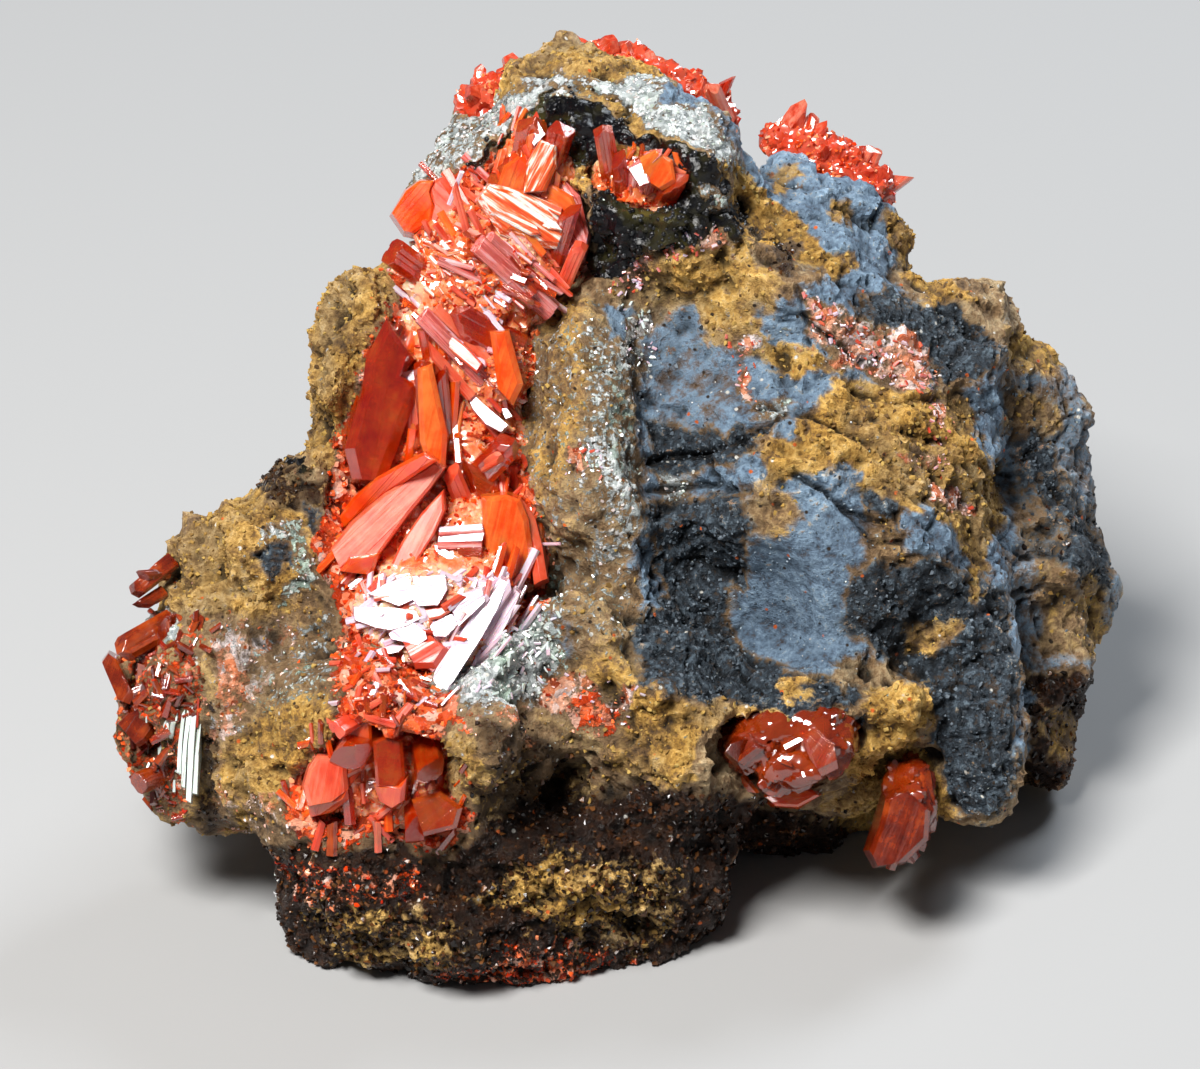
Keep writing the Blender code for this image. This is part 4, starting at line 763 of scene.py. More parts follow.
# How each coat lies, from the lowest to the topmost: the noise that frays it, how far, how soft its edge
# is, and its roughness
LAYERS = (
    ("umber", "ragged", 2.4, 0.2, 0.3),
    ("slate", "ragged", 3.2, 0.2, 0.42),
    ("soot", "ragged", 3.6, 0.2, 0.45),
    ("ochre", "ragged", 4.6, 0.2, 0.9),
    ("crocoite", "fine", 2.6, 0.08, 0.2),
    ("blush", "ragged", 4.4, 0.14, 0.2),
    ("silver", "fine", 3.0, 0.08, 0.2),
    ("pitch", "middle", 1.4, 0.08, 0.1),
)
BARE_ROUGHNESS = 0.5

# Flecks on the rock: which channel of a cell's colour picks them, the least value that does, colour
FLECKS = (
    (0, 0.97, (0.7, 0.68, 0.62, 1)),
    (1, 0.975, (0.62, 0.12, 0.02, 1)),
    (2, 0.93, (0.03, 0.018, 0.01, 1)),
)

# The studio, in metres: lights by name, place, size, power and colour
LIGHTS = (
    ("key", (-0.12, -0.16, 0.34), 0.13, 2.9, (1, 0.985, 0.96)),
    ("rim", (0.16, 0.22, 0.26), 0.12, 0.9, (0.85, 0.92, 1)),
)
SKY, SKY_STRENGTH = (0.75, 0.78, 0.82, 1), 0.11
FLOOR_REACH, FLOOR_COLOUR = 1.5, (0.36, 0.36, 0.36, 1)

# Each group's node
NODES = {
    "veinlets": "gossan_matrix",
    "seam": "seam_crystals",
    "front": "front_pocket_crystals",
    "left": "left_edge_crystals",
    "left_blade": "left_blade_crystal",
    "left_tip": "left_tip_crystal",
    "red_knob": "red_knob_crystals",
    "drip": "hanging_crystals",
    "black": "black_pocket_crystals",
    "summit": "summit_rim_crystals",
    "summit_left": "summit_left_crystals",
    "shoulder": "shoulder_rim_crystals",
}


# --- places ---------------------------------------------------------------------------------------

def on_face(point):
    """A point of the leaning show face, in world millimetres."""
    across, up, proud = point
    return Vector((0, 0, FACE_HEIGHT)) + FACE_TURN @ Vector((across, -proud, up))


def face_frame(points):
    """World points, one to a row, as lengths across the show face, up it and proud of it."""
    turn = np.array(FACE_TURN)
    local = (points - (0, 0, FACE_HEIGHT)) @ turn
    return np.stack([local[:, 0], local[:, 2], -local[:, 1]], axis=1)


def pixels_of(points):
    """Where the camera sees world points."""
    place = face_frame(points)
    nearer = EYE / (EYE - place[:, 2]) / PIXEL
    across, up = place[:, 0] * nearer, place[:, 1] * nearer
    return np.stack([FRAME_WIDTH / 2 + across, FRAME_HEIGHT / 2 - up], axis=1)


def from_middle(pixel):
    """How far across and up a pixel is from the frame's middle, in pixels."""
    return pixel[0] - FRAME_WIDTH / 2, FRAME_HEIGHT / 2 - pixel[1]


# --- meshes ---------------------------------------------------------------------------------------

def new_object(name, work):
    """An object of the bmesh, in the bmesh's own units."""
    mesh = bpy.data.meshes.new(name)
    work.to_mesh(mesh)
    work.free()
    obj = bpy.data.objects.new(name, mesh)
    bpy.context.scene.collection.objects.link(obj)
    return obj


def ground_of(obj):
    """What rays are cast at to find an object's surface."""
    return BVHTree.FromObject(obj, bpy.context.evaluated_depsgraph_get())


def settle(obj):
    """Gives the object the mesh that its modifiers make, and drops them."""
    bpy.context.view_layer.update()
    made = bpy.data.meshes.new_from_object(obj.evaluated_get(bpy.context.evaluated_depsgraph_get()))
    obj.modifiers.clear()
    obj.data = made


def fuse(obj, voxel):
    """Remakes an object's mesh in voxels, as one closed skin."""
    voxels = obj.modifiers.new("voxels", "REMESH")
    voxels.mode = "VOXEL"
    voxels.voxel_size = voxel
    settle(obj)


def values_of(items, name, width):
    """A property of all the vertices or edges of a mesh, as rows of numbers."""
    found = np.empty(len(items) * width, np.float32 if name != "vertices" else np.int32)
    items.foreach_get(name, found)
    return found.reshape(-1, width)


def points_of(mesh):
    """The places of a mesh's vertices, one to a row."""
    return values_of(mesh.vertices, "co", 3).astype(float)


def move_points(mesh, points):
    """Puts a mesh's vertices at new places."""
    mesh.vertices.foreach_set("co", points.astype(np.float32).ravel())
    mesh.update()


def off_floor(points):
    """The points, with none of them below the floor."""
    return np.column_stack([points[:, :2], np.maximum(points[:, 2], FLOOR_CLEAR)])


def neighbour_mean(values, edges):
    """The mean of each vertex's neighbours' values."""
    count = len(values)
    near = np.bincount(edges.ravel(), minlength=count)[:, None]
    total = np.empty(values.shape)
    for k in range(values.shape[1]):
        total[:, k] = np.bincount(edges[:, 0], values[edges[:, 1], k], count)
        total[:, k] += np.bincount(edges[:, 1], values[edges[:, 0], k], count)
    return total / np.maximum(near, 1)


def smoothed(values, edges, rounds, share=MELT_SHARE):
    """Values that melt into their neighbours' mean over some rounds."""
    for _ in range(rounds):
        values = values + share * (neighbour_mean(values, edges) - values)
    return values


def unit(vectors):
    """Vectors, one to a row, each with a length of 1."""
    return vectors / np.maximum(np.linalg.norm(vectors, axis=1, keepdims=True), 1e-9)


def outward_of(mesh, edges, rounds):
    """Each vertex's normal, averaged with its neighbours' over some rounds."""
    return unit(smoothed(values_of(mesh.vertices, "normal", 3).astype(float), edges, rounds, 1.0))


def facing_of(points, outward):
    """How squarely each point faces the camera."""
    eye = np.array(on_face((0, 0, EYE)))
    return np.einsum("ij,ij->i", outward, unit(eye - points))


def ease(mesh):
    """Shades the mesh smooth but for its sharp edges."""
    mesh.shade_smooth()
    mesh.set_sharp_from_angle(angle=SHARP)


def keep_values(mesh, name, values):
    """Stores a number for each vertex."""
    made = mesh.attributes.new(name, "FLOAT", "POINT")
    made.data.foreach_set("value", values.astype(np.float32))


def step(values, low, high):
    """0 below low, 1 above high, and a smooth rise between them."""
    t = np.clip((values - low) / (high - low), 0, 1)
    return t * t * (3 - 2 * t)


# --- patterns -------------------------------------------------------------------------------------

def pattern(points, size, rule):
    """A rule's value at each point, with points measured in lumps of a size."""
    return np.array([rule(point) for point in (points / size).tolist()])


def rough(point):
    """Rough noise, from about -1 to 1."""
    return noise.fractal(point, 0.9, 2.1, 4)


def soft(point):
    """Soft noise, from about -1 to 1."""
    return noise.noise(point)


def facets(point):
    """The height of a broken grain: each cell is a flat tilted its own way."""
    nearest = noise.voronoi(point)[1][0]
    tilt = noise.noise_vector(nearest * 7.3)
    return tilt.dot(Vector(point) - nearest) * 1.6


def beads(point):
    """The height of round beads that touch."""
    near = noise.voronoi(point)[0][0]
    return sqrt(max(0.0, 1 - (near / 0.72) ** 2))


def pits(point):
    """1 in the middle of round pits, 0 between them."""
    near = noise.voronoi(point)[0][0]
    return max(0.0, 1 - (near / 0.42) ** 2)


def joints(point):
    """1 on the seams between cells, 0 off them."""
    near = noise.voronoi(point)[0]
    return max(0.0, 1 - (near[1] - near[0]) / 0.09)


def inside(pixels, corners, softness):
    """1 inside an outline of pixels, 0 outside it, and a ramp across its edge."""
    nearest = np.full(len(pixels), 1e9)
    odd = np.zeros(len(pixels), bool)
    for start, stop in zip(corners, corners[1:] + corners[:1]):
        start, stop = np.array(start, float), np.array(stop, float)
        nearest = np.minimum(nearest, off_line(pixels, start, stop))
        crosses = (start[1] > pixels[:, 1]) != (stop[1] > pixels[:, 1])
        rise = stop[1] - start[1] or 1.0
        odd ^= crosses & (pixels[:, 0] < start[0] + (pixels[:, 1] - start[1]) * (stop[0] - start[0]) / rise)
    return np.clip(np.where(odd, nearest, -nearest) / softness + 0.5, 0, 1)


def off_line(pixels, start, stop):
    """How far pixels are from a straight run."""
    run = stop - start
    share = np.clip(((pixels - start) @ run) / (run @ run), 0, 1)
    return np.linalg.norm(pixels - start - share[:, None] * run, axis=1)


# --- the rock -------------------------------------------------------------------------------------

def coats_of(points, facing):
    """How much of each coat is on each point: by patches where the camera sees it, by noise elsewhere."""
    frayed = pixels_of(points)
    for size, reach in RAGGED:
        for k in range(2):
            frayed[:, k] += reach * pattern(points + 40.0 * (k + 1), size, soft)
    wide = pattern(points, 7.0, rough)
    middle = pattern(points + 11.0, 3.2, rough)
    amounts = np.zeros((len(points), len(COATS)))
    amounts[:, COATS.index("ochre")] = step(wide + 0.6 * middle, -0.15, 0.25)
    amounts[:, COATS.index("slate")] = step(-wide + 0.5 * middle, 0.1, 0.4) * 0.9
    amounts[:, COATS.index("soot")] = step(-middle, 0.25, 0.5) * 0.7
    amounts[:, COATS.index("crocoite")] = step(pattern(points - 23.0, 4.0, rough), 0.42, 0.6) * 0.7
    front = step(facing, MILD_TURN, FULL_TURN)
    shown = np.zeros_like(amounts)
    for coat, softness, strength, corners in PATCHES:
        share = (strength * inside(frayed, corners, softness))[:, None]
        only = np.zeros(len(COATS))
        only[COATS.index(coat)] = 1.0
        shown = shown * (1 - share) + share * only
    # Painted shade: the foot under the overhang keeps its near-black umber under every other patch
    under = COATS.index("umber")
    shown[:, under] = np.maximum(shown[:, under], inside(frayed, DARK_FOOT, FOOT_EDGE))
    return amounts * (1 - front[:, None]) + shown * front[:, None]


def relief_of(points, amounts):
    """How far each point of the rock stands out, in mm, from what coats it."""
    coat = {name: amounts[:, k] for k, name in enumerate(COATS)}
    bare = np.clip(1 - amounts.sum(axis=1), 0, 1)
    crumbly = coat["ochre"] + coat["umber"] + bare
    grainy = coat["crocoite"] + 0.8 * coat["silver"] + 0.8 * coat["blush"]
    hard = coat["slate"] + coat["soot"]
    wide = pattern(points, 3.4, rough)
    fine = pattern(points, 0.62, rough)
    chips = pattern(points, 2.1, facets)
    flakes = pattern(points, 1.0, facets)
    holed = step(pattern(points + 30, 3.0, rough), -0.1, 0.3)
    height = 0.24 * wide + 0.30 * pattern(points, 4.4, facets) * (0.4 + 0.6 * np.clip(hard, 0, 1))
    height += crumbly * (0.24 * pattern(points, 1.5, rough) + 0.20 * chips + 0.16 * flakes + 0.15 * fine)
    holes = 0.42 * pattern(points + 5, 1.7, pits) + 0.25 * pattern(points + 9, 0.85, pits)
    height -= crumbly * holed * holes
    height += coat["slate"] * (0.16 * chips + 0.06 * flakes + 0.06 * fine)
    bent = points + 0.5 * wide[:, None]
    seams = 0.26 * pattern(bent, 3.2, joints) + 0.16 * pattern(bent, 1.5, joints)
    height -= np.clip(hard + 0.5 * crumbly, 0, 1) * seams
    height += coat["soot"] * (0.30 * chips + 0.20 * flakes + 0.16 * fine)
    beaded = 0.42 * pattern(points, 1.4, beads) + 0.3 * pattern(points, 0.75, beads)
    beaded = beaded + 0.14 * pattern(points, 0.4, beads) + 0.4 * pattern(points, 1.9, rough)
    height += coat["pitch"] * (beaded - 0.4)
    height += grainy * (0.34 * flakes + 0.26 * pattern(points, 0.6, facets))
    stepped = np.clip(coat["slate"] + coat["soot"] + 0.8 * coat["ochre"], 0, 1)
    height += 0.36 * ledges(points) * stepped - 0.12
    return height


def ledges(points):
    """The height of the ledges that the show face breaks into: each rises slowly and drops sharply."""
    place = face_frame(points)
    run = (place[:, 1] * 0.88 + place[:, 0] * 0.42 + 1.5 * pattern(points, 3.6, rough)) / LEDGE
    share = run - np.floor(run)
    broken = step(pattern(points - 17.0, 3.0, soft), -0.25, 0.25)
    return broken * np.where(share < 0.86, share / 0.86, (1 - share) / 0.14)


def cracked(points, facing):
    """How deep cracks cut each point, in mm."""
    pixels = pixels_of(points) + 3.0 * pattern(points, 1.0, soft)[:, None]
    depth = np.zeros(len(points))
    for width, deep, run in CRACKS:
        off = np.full(len(points), 1e9)
        for start, stop in zip(run, run[1:]):
            off = np.minimum(off, off_line(pixels, np.array(start, float), np.array(stop, float)))
        depth = np.maximum(depth, deep * np.clip(1 - off / width / 2, 0, 1))
    return depth * step(facing, 0.1, 0.4)


def worn_smooth(points, facing):
    """How much of its relief each point loses to a smooth slab."""
    pixels = pixels_of(points) + 5.0 * pattern(points, 1.6, soft)[:, None]
    lost = np.zeros(len(points))
    for share, softness, corners in SLABS:
        lost = np.maximum(lost, share * inside(pixels, corners, softness))
    return lost * step(facing, 0.1, 0.4)


def rock_skin():
    """The rock's own surface: the solid's form, melted free of its flats and worked by its coats."""
    work = bmesh.new()
    work.from_mesh(frame["nodes"]["gossan_matrix"].data)
    bmesh.ops.remove_doubles(work, verts=work.verts, dist=0.001 * MM)
    bmesh.ops.scale(work, vec=(1 / MM,) * 3, verts=work.verts)
    skin = new_object("gossan_skin", work)
    fuse(skin, SKIN_VOXEL)
    mesh = skin.data
    edges = values_of(mesh.edges, "vertices", 2)
    points = smoothed(points_of(mesh), edges, SKIN_ROUNDS)
    move_points(mesh, points)
    outward = outward_of(mesh, edges, 6)
    facing = facing_of(points, outward)
    amounts = coats_of(points, facing)
    kept = 1 - worn_smooth(points, facing)
    height = relief_of(points, amounts) * kept - cracked(points, facing)
    move_points(mesh, off_floor(points + outward * height[:, None]))
    thin_out(skin, facing)
    dress(skin.data)
    ease(skin.data)
    skin.data.materials.append(gossan_finish())
    return skin


def thin_out(skin, facing):
    """Brings the skin down to its number of faces, and leaves more of them where the camera sees it."""
    group = skin.vertex_groups.new(name="seen")
    seen = step(facing, -0.1, 0.3)
    for level in range(1, SEEN_LEVELS + 1):
        rows = np.flatnonzero(np.ceil(seen * SEEN_LEVELS) == level)
        group.add(rows.tolist(), level / SEEN_LEVELS, "REPLACE")
    fewer = skin.modifiers.new("fewer", "DECIMATE")
    fewer.ratio = SKIN_FACES / (2 * len(skin.data.polygons))
    fewer.vertex_group = "seen"
    fewer.invert_vertex_group = True
    fewer.vertex_group_factor = SEEN_SHARE
    settle(skin)
    skin.vertex_groups.clear()


def dress(mesh):
    """Stores on the rock's skin what coats each point and how hollow it is there, which the finish darkens
    as painted shade.
    """
    points = points_of(mesh)
    edges = values_of(mesh.edges, "vertices", 2)
    outward = outward_of(mesh, edges, 8)
    facing = facing_of(points, outward)
    for name, amount in zip(COATS, coats_of(points, facing).T):
        keep_values(mesh, name, amount)
    glints = step(pattern(points - 9.0, 2.6, rough), 0.0, 0.35)
    keep_values(mesh, "sparkle", step(facing, -0.3, 0.2) * glints)
    melted = smoothed(points, edges, 14, 1.0)
    keep_values(mesh, "hollow", np.einsum("ij,ij->i", melted - points, outward))


# --- crystals -------------------------------------------------------------------------------------

def stepped_section(width, thickness, dice):
    """The corners of a chamfered rectangle whose broad sides are stepped by parallel growth."""
    x, y = width / 2, thickness / 2
    cut = dice.uniform(0.3, 0.6) * min(x, y)
    steps = dice.choice((2, 3, 3, 4))
    side = []
    for k in range(steps):
        inset = 0 if k == 0 else dice.uniform(0.0, 0.12) * thickness
        start = (x - cut) * (1 - 2 * k / steps)
        stop = (x - cut) * (1 - 2 * (k + 1) / steps)
        side += [(start - 0.02 * x, y - inset), (stop + 0.02 * x, y - inset)]
    other = [(-a, -b + dice.uniform(0.0, 0.08) * thickness) for a, b in side]
    return [(x, y - cut)] + side + [(-x, y - cut)] + [(-x, -(y - cut))] + other + [(x, -(y - cut))]


def tip_planes(width, length, end, dice):
    """Planes that cut a crystal's tip, by a point and a normal, in the crystal's own frame."""
    stray = Vector([dice.uniform(-0.12, 0.12) for _ in range(3)])
    if end == "slant":
        return [((-width / 2, 0, length), Vector((0.75, 0.25, 0.62)) + stray),
                ((-width / 3, 0, length), Vector((0.2, -0.9, 0.8)) + stray)]
    if end == "chisel":
        return [((0, 0, length), Vector((0.7, 0.3, 0.72)) + stray),
                ((0, 0, length), Vector((-0.7, 0.2, 0.72)) - stray),
                ((0, 0, length), Vector((0.1, -0.8, 0.75)) + stray)]
    return [((0, 0, length), Vector((0.12, 0.16, 1)) + stray)]


def wall(shape, low, high):
    """Joins two rings of corners."""
    for k in range(len(low)):
        after = (k + 1) % len(low)
        shape.faces.new((low[k], low[after], high[after], high[k]))


def bevel(shape, edges, width):
    """Cuts edges back by a width."""
    bmesh.ops.bevel(shape, geom=edges, offset=width, offset_type="OFFSET", segments=1, profile=0.5,
                    affect="EDGES", clamp_overlap=True)


def ease_edges(shape, angle, width):
    """Bevels the edges that are sharper than an angle."""
    sharp = [edge for edge in shape.edges if edge.is_manifold and edge.calc_face_angle() > angle]
    bevel(shape, sharp, width)


def give_grain(shape, finish, dice, measure=Vector):
    """Gives a crystal its finish, a tint of its own, and each point's place in the pattern of its grain."""
    grain = shape.verts.layers.float_vector.new("grain")
    tint = shape.verts.layers.float.new("tint")
    start = Vector([dice.uniform(-GRAIN_REACH, GRAIN_REACH) for _ in range(3)])
    own = dice.random()
    for v in shape.verts:
        v[grain] = measure(v.co) + start
        v[tint] = own
    for face in shape.faces:
        face.material_index = finish


def stand(shape, root, side, along):
    """Turns an upright shape so that it grows along a direction from its root."""
    turn = Matrix((side, along.cross(side), along)).transposed().to_4x4()
    bmesh.ops.transform(shape, matrix=Matrix.Translation(root) @ turn, verts=shape.verts)


def append(work, shape):
    """Moves a bmesh into another."""
    mesh = bpy.data.meshes.new("passing")
    shape.to_mesh(mesh)
    shape.free()
    work.from_mesh(mesh)
    bpy.data.meshes.remove(mesh)


def add_crystal(work, root, tip, width, thickness, roll, end, finish, dice):
    """Adds one crystal: a stepped prism, waisted by growth, with its tip cut and its edges eased."""
    root, tip = on_face(root), on_face(tip)
    along = (tip - root).normalized()
    side = Matrix.Rotation(radians(roll), 3, along) @ FACE_OUT.cross(along).normalized()
    length = (tip - root).length
    shape = bmesh.new()
    section = stepped_section(width, thickness, dice)
    levels = [0.0]
    for height in sorted(dice.uniform(0.15, 0.9) for _ in range(3)):
        levels += [height, height + 0.03]
    levels.append(1.0)
    rings = []
    growth = [1.0] * len(section)
    for k, level in enumerate(levels):
        if k and k % 2 == 0:
            first = dice.randrange(len(section))
            for corner in range(first, first + len(section) // 3):
                growth[corner % len(section)] *= dice.uniform(0.9, 0.97)
        ring = [(x * g, y * g, level * length) for (x, y), g in zip(section, growth)]
        rings.append([shape.verts.new(corner) for corner in ring])
    for low, high in zip(rings, rings[1:]):
        wall(shape, low, high)
    shape.faces.new(rings[0])
    shape.faces.new(rings[-1])
    bmesh.ops.recalc_face_normals(shape, faces=shape.faces)
    for point, normal in tip_planes(width, length, end, dice):
        whole = shape.verts[:] + shape.edges[:] + shape.faces[:]
        cut = bmesh.ops.bisect_plane(shape, geom=whole, plane_co=point, plane_no=normal.normalized(),
                                     clear_outer=True)
        rim = [item for item in cut["geom_cut"] if isinstance(item, bmesh.types.BMEdge)]
        bmesh.ops.contextual_create(shape, geom=rim)
    bmesh.ops.remove_doubles(shape, verts=shape.verts, dist=WELD)
    bmesh.ops.recalc_face_normals(shape, faces=shape.faces)
    ease_edges(shape, *CRYSTAL_EDGE)
    give_grain(shape, finish, dice)
    stand(shape, root, side, along)
    append(work, shape)


def seen_corner(pixel, middle, proud, slopes):
    """Where the camera's line through a pixel meets a facet's plane, as across, up and proud."""
    height = proud
    for _ in range(4):
        nearer = PIXEL * (EYE - height) / EYE
        across, up = (length * nearer for length in from_middle(pixel))
        height = proud + slopes[0] * (across - middle[0]) + slopes[1] * (up - middle[1])
    return Vector((across, up, height))


def under(pixel, grounds):
    """Where the camera's line through a pixel first meets some surfaces, as a ray cast gives it."""
    eye = on_face((0, 0, EYE))
    across, up = from_middle(pixel)
    target = on_face((across * PIXEL, up * PIXEL, 0))
    hits = [ground.ray_cast(eye, (target - eye).normalized()) for ground in grounds]
    hits = sorted((hit for hit in hits if hit[0]), key=lambda hit: hit[3])
    return hits[0] if hits else None


def seated(proud, depth, corners, grounds):
    """A facet's height, kept clear of the surface behind it and near enough to be rooted in it."""
    found = [under(corner, grounds) for corner in corners]
    heights = sorted(face_frame(np.array([hit[0]]))[0, 2] for hit in found if hit)
    if not heights:
        return proud
    high, low = heights[len(heights) * 2 // 3], heights[len(heights) // 3]
    return min(max(proud, high + CLEAR_OF), low + ROOTED * depth)


def level_with(shape, normal):
    """The faces of a shape that face the way of a normal, in the order of their places."""
    found = [face for face in shape.faces if face.normal.dot(normal) > LEVEL]
    return sorted(found, key=lambda face: [round(x, PLACE_DIGITS) for x in face.calc_center_median()])


def add_facet_crystal(work, proud, slopes, depth, run, corners, grounds, finish, number, dice):
    """Adds one crystal by its front facet: a body that widens behind it, and ridges along its grain."""
    proud = seated(proud, depth, corners, grounds)
    level = PIXEL * (EYE - proud) / EYE
    mean = [sum(corner[k] for corner in corners) / len(corners) for k in (0, 1)]
    middle = [length * level for length in from_middle(mean)]
    front = [seen_corner(corner, middle, proud, slopes) for corner in corners]
    centre = sum(front, Vector()) / len(front)
    shape = bmesh.new()
    near = [shape.verts.new(corner) for corner in front]
    far = []
    for corner in front:
        out = (corner - centre) * Vector((1, 1, 0))
        far.append(shape.verts.new(corner + out.normalized() * FLARE * depth - Vector((0, 0, depth))))
    face = shape.faces.new(near)
    shape.faces.new(far)
    wall(shape, near, far)
    bmesh.ops.recalc_face_normals(shape, faces=shape.faces)
    normal = face.normal.copy()
    along = Vector((cos(radians(run)), sin(radians(run)), 0))
    along = (along - normal * along.dot(normal)).normalized()
    beside = normal.cross(along)
    reach = [(corner - centre).dot(beside) for corner in front]
    if finish not in ("pearl", "frost"):
        chamfer(shape, centre, normal, along, max(reach) - min(reach), dice)
    ridge = RIDGE.get(finish, COMMON_RIDGE)
    at = min(reach) + dice.uniform(*ridge)
    while at < max(reach) - ridge[0] / 2:
        strips = level_with(shape, normal)
        around = dict.fromkeys(item for strip in strips for item in (*strip.edges, *strip.verts))
        bmesh.ops.bisect_plane(shape, geom=strips + list(around), plane_no=beside,
                               plane_co=centre + beside * at)
        at += dice.uniform(*ridge)
    for strip in level_with(shape, normal):
        bmesh.ops.inset_individual(shape, faces=[strip], thickness=STRIP_INSET, use_even_offset=True,
                                   depth=dice.uniform(*STRIP_STEP))
        tilt, own_middle = dice.gauss(0, STRIP_TILT[finish]), strip.calc_center_median()
        for v in strip.verts:
            v.co += normal * tilt * (v.co - own_middle).dot(beside)
    ease_edges(shape, *FACET_EDGE)
    axes = (beside, normal, along)
    give_grain(shape, number, dice, lambda place: Vector([(place - centre).dot(axis) for axis in axes]))
    for v in shape.verts:
        v.co = on_face(v.co)
    bmesh.ops.recalc_face_normals(shape, faces=shape.faces)
    append(work, shape)


def chamfer(shape, centre, normal, along, breadth, dice):
    """Cuts back a front facet's edges: broadly where they run with the grain, a little at its upper end."""
    for runs_along, share in ((True, LONG_CHAMFER), (False, END_CHAMFER)):
        front = max(level_with(shape, normal), key=lambda face: face.calc_area())
        edges = []
        for edge in front.edges:
            run = (edge.verts[1].co - edge.verts[0].co).normalized()
            above = (edge.verts[0].co.y + edge.verts[1].co.y) / 2 > centre.y
            if (abs(run.dot(along)) > 0.8) == runs_along and (runs_along or above):
                edges.append(edge)
        if edges:
            bevel(shape, edges, breadth * dice.uniform(*share))
            shape.normal_update()


def add_splinter(work, root, along, side, length, width, finish, dice):
    """Adds a small blade: a flat six-sided prism with a slanted tip."""
    shape = bmesh.new()
    x, y = width / 2, width * dice.uniform(0.25, 0.45)
    section = ((x, 0), (x * 0.6, y), (-x * 0.6, y), (-x, 0), (-x * 0.6, -y), (x * 0.6, -y))
    slant = dice.uniform(-0.9, 0.9)
    low = [shape.verts.new((a, b, 0)) for a, b in section]
    high = [shape.verts.new((a * 0.9, b * 0.9, length + slant * a)) for a, b in section]
    wall(shape, low, high)
    shape.faces.new(low[::-1])
    shape.faces.new(high)
    give_grain(shape, finish, dice)
    stand(shape, root, side, along)
    append(work, shape)


def add_sheaf(work, names, run, spread, count, least, most, thin, lift, corners, grounds, finishes, dice):
    """Adds splinters rooted in what the camera sees inside an outline."""
    lows = [min(corner[k] for corner in corners) for k in (0, 1)]
    highs = [max(corner[k] for corner in corners) for k in (0, 1)]
    made = tries = 0
    while made < count and tries < MOST_TRIES * count:
        tries += 1
        pixel = (dice.uniform(lows[0], highs[0]), dice.uniform(lows[1], highs[1]))
        hit = under(pixel, grounds)
        if inside(np.array([pixel]), corners, 0.1)[0] < 0.5 or not hit:
            continue
        turn = radians(run + dice.gauss(0, spread))
        flat = FACE_TURN @ Vector((cos(turn), 0, sin(turn)))
        normal = hit[1] if hit[1].dot(FACE_OUT) > 0.2 else FACE_OUT
        rise = normal * dice.uniform(-0.3, 1.0) * lift
        along = (flat - 0.7 * normal * flat.dot(normal) + rise).normalized()
        side = along.cross(normal).normalized()
        side = Matrix.Rotation(dice.gauss(0, 0.45), 3, along) @ side
        length = dice.uniform(least, most)
        width = thin * length * dice.uniform(0.7, 1.3)
        root = hit[0] - along * length * dice.uniform(0.3, 0.6) + normal * 0.1 * width
        add_splinter(work, root, along, side, length, width, finishes.index(dice.choice(names)), dice)
        made += 1


def random_direction(dice):
    """A direction drawn evenly from all."""
    z = dice.uniform(-1, 1)
    turn = dice.uniform(-pi, pi)
    flat = sqrt(1 - z * z)
    return Vector((flat * cos(turn), flat * sin(turn), z))


def row_of_crystals(start, stop, way, count, length, width, dice):
    """Small crystals along a row, leaning every way about one, as add_crystal takes them."""
    start, stop, way = Vector(start), Vector(stop), Vector(way)
    found = []
    for i in range(count):
        root = start.lerp(stop, (i + 0.5) / count) + 0.55 * random_direction(dice)
        lean = (way.normalized() + 0.85 * random_direction(dice)).normalized()
        tip = root + length * dice.uniform(0.5, 1.0) * lean
        broad = width * dice.uniform(0.7, 1.3)
        end = dice.choice(("slant", "chisel", "flat"))
        found.append((root - 0.6 * lean, tip, broad, 0.8 * broad, dice.uniform(-60, 60), end))
    return found


def crystal_group(group, grounds):
    """All the single crystals of a group, as one piece."""
    finishes = list(FINISHES)
    dice = random.Random(f"crystals of {group}")
    work = bmesh.new()
    for finish, *shape in CRYSTALS.get(group, ()):
        add_crystal(work, *shape, finishes.index(finish), dice)
    for finish, *shape in FACETS.get(group, ()):
        add_facet_crystal(work, *shape, grounds, finish, finishes.index(finish), dice)
    for sheaf in SHEAVES.get(group, ()):
        add_sheaf(work, *sheaf, grounds, finishes, dice)
    if group in ROWS:
        finish, *row, seed = ROWS[group]
        for shape in row_of_crystals(*row, random.Random(seed)):
            add_crystal(work, *shape, finishes.index(finish), dice)
    obj = new_object(f"{NODES[group]}_blades", work)
    for finish in FINISHES.values():
        obj.data.materials.append(finish)
    obj.data.shade_flat()
    return obj


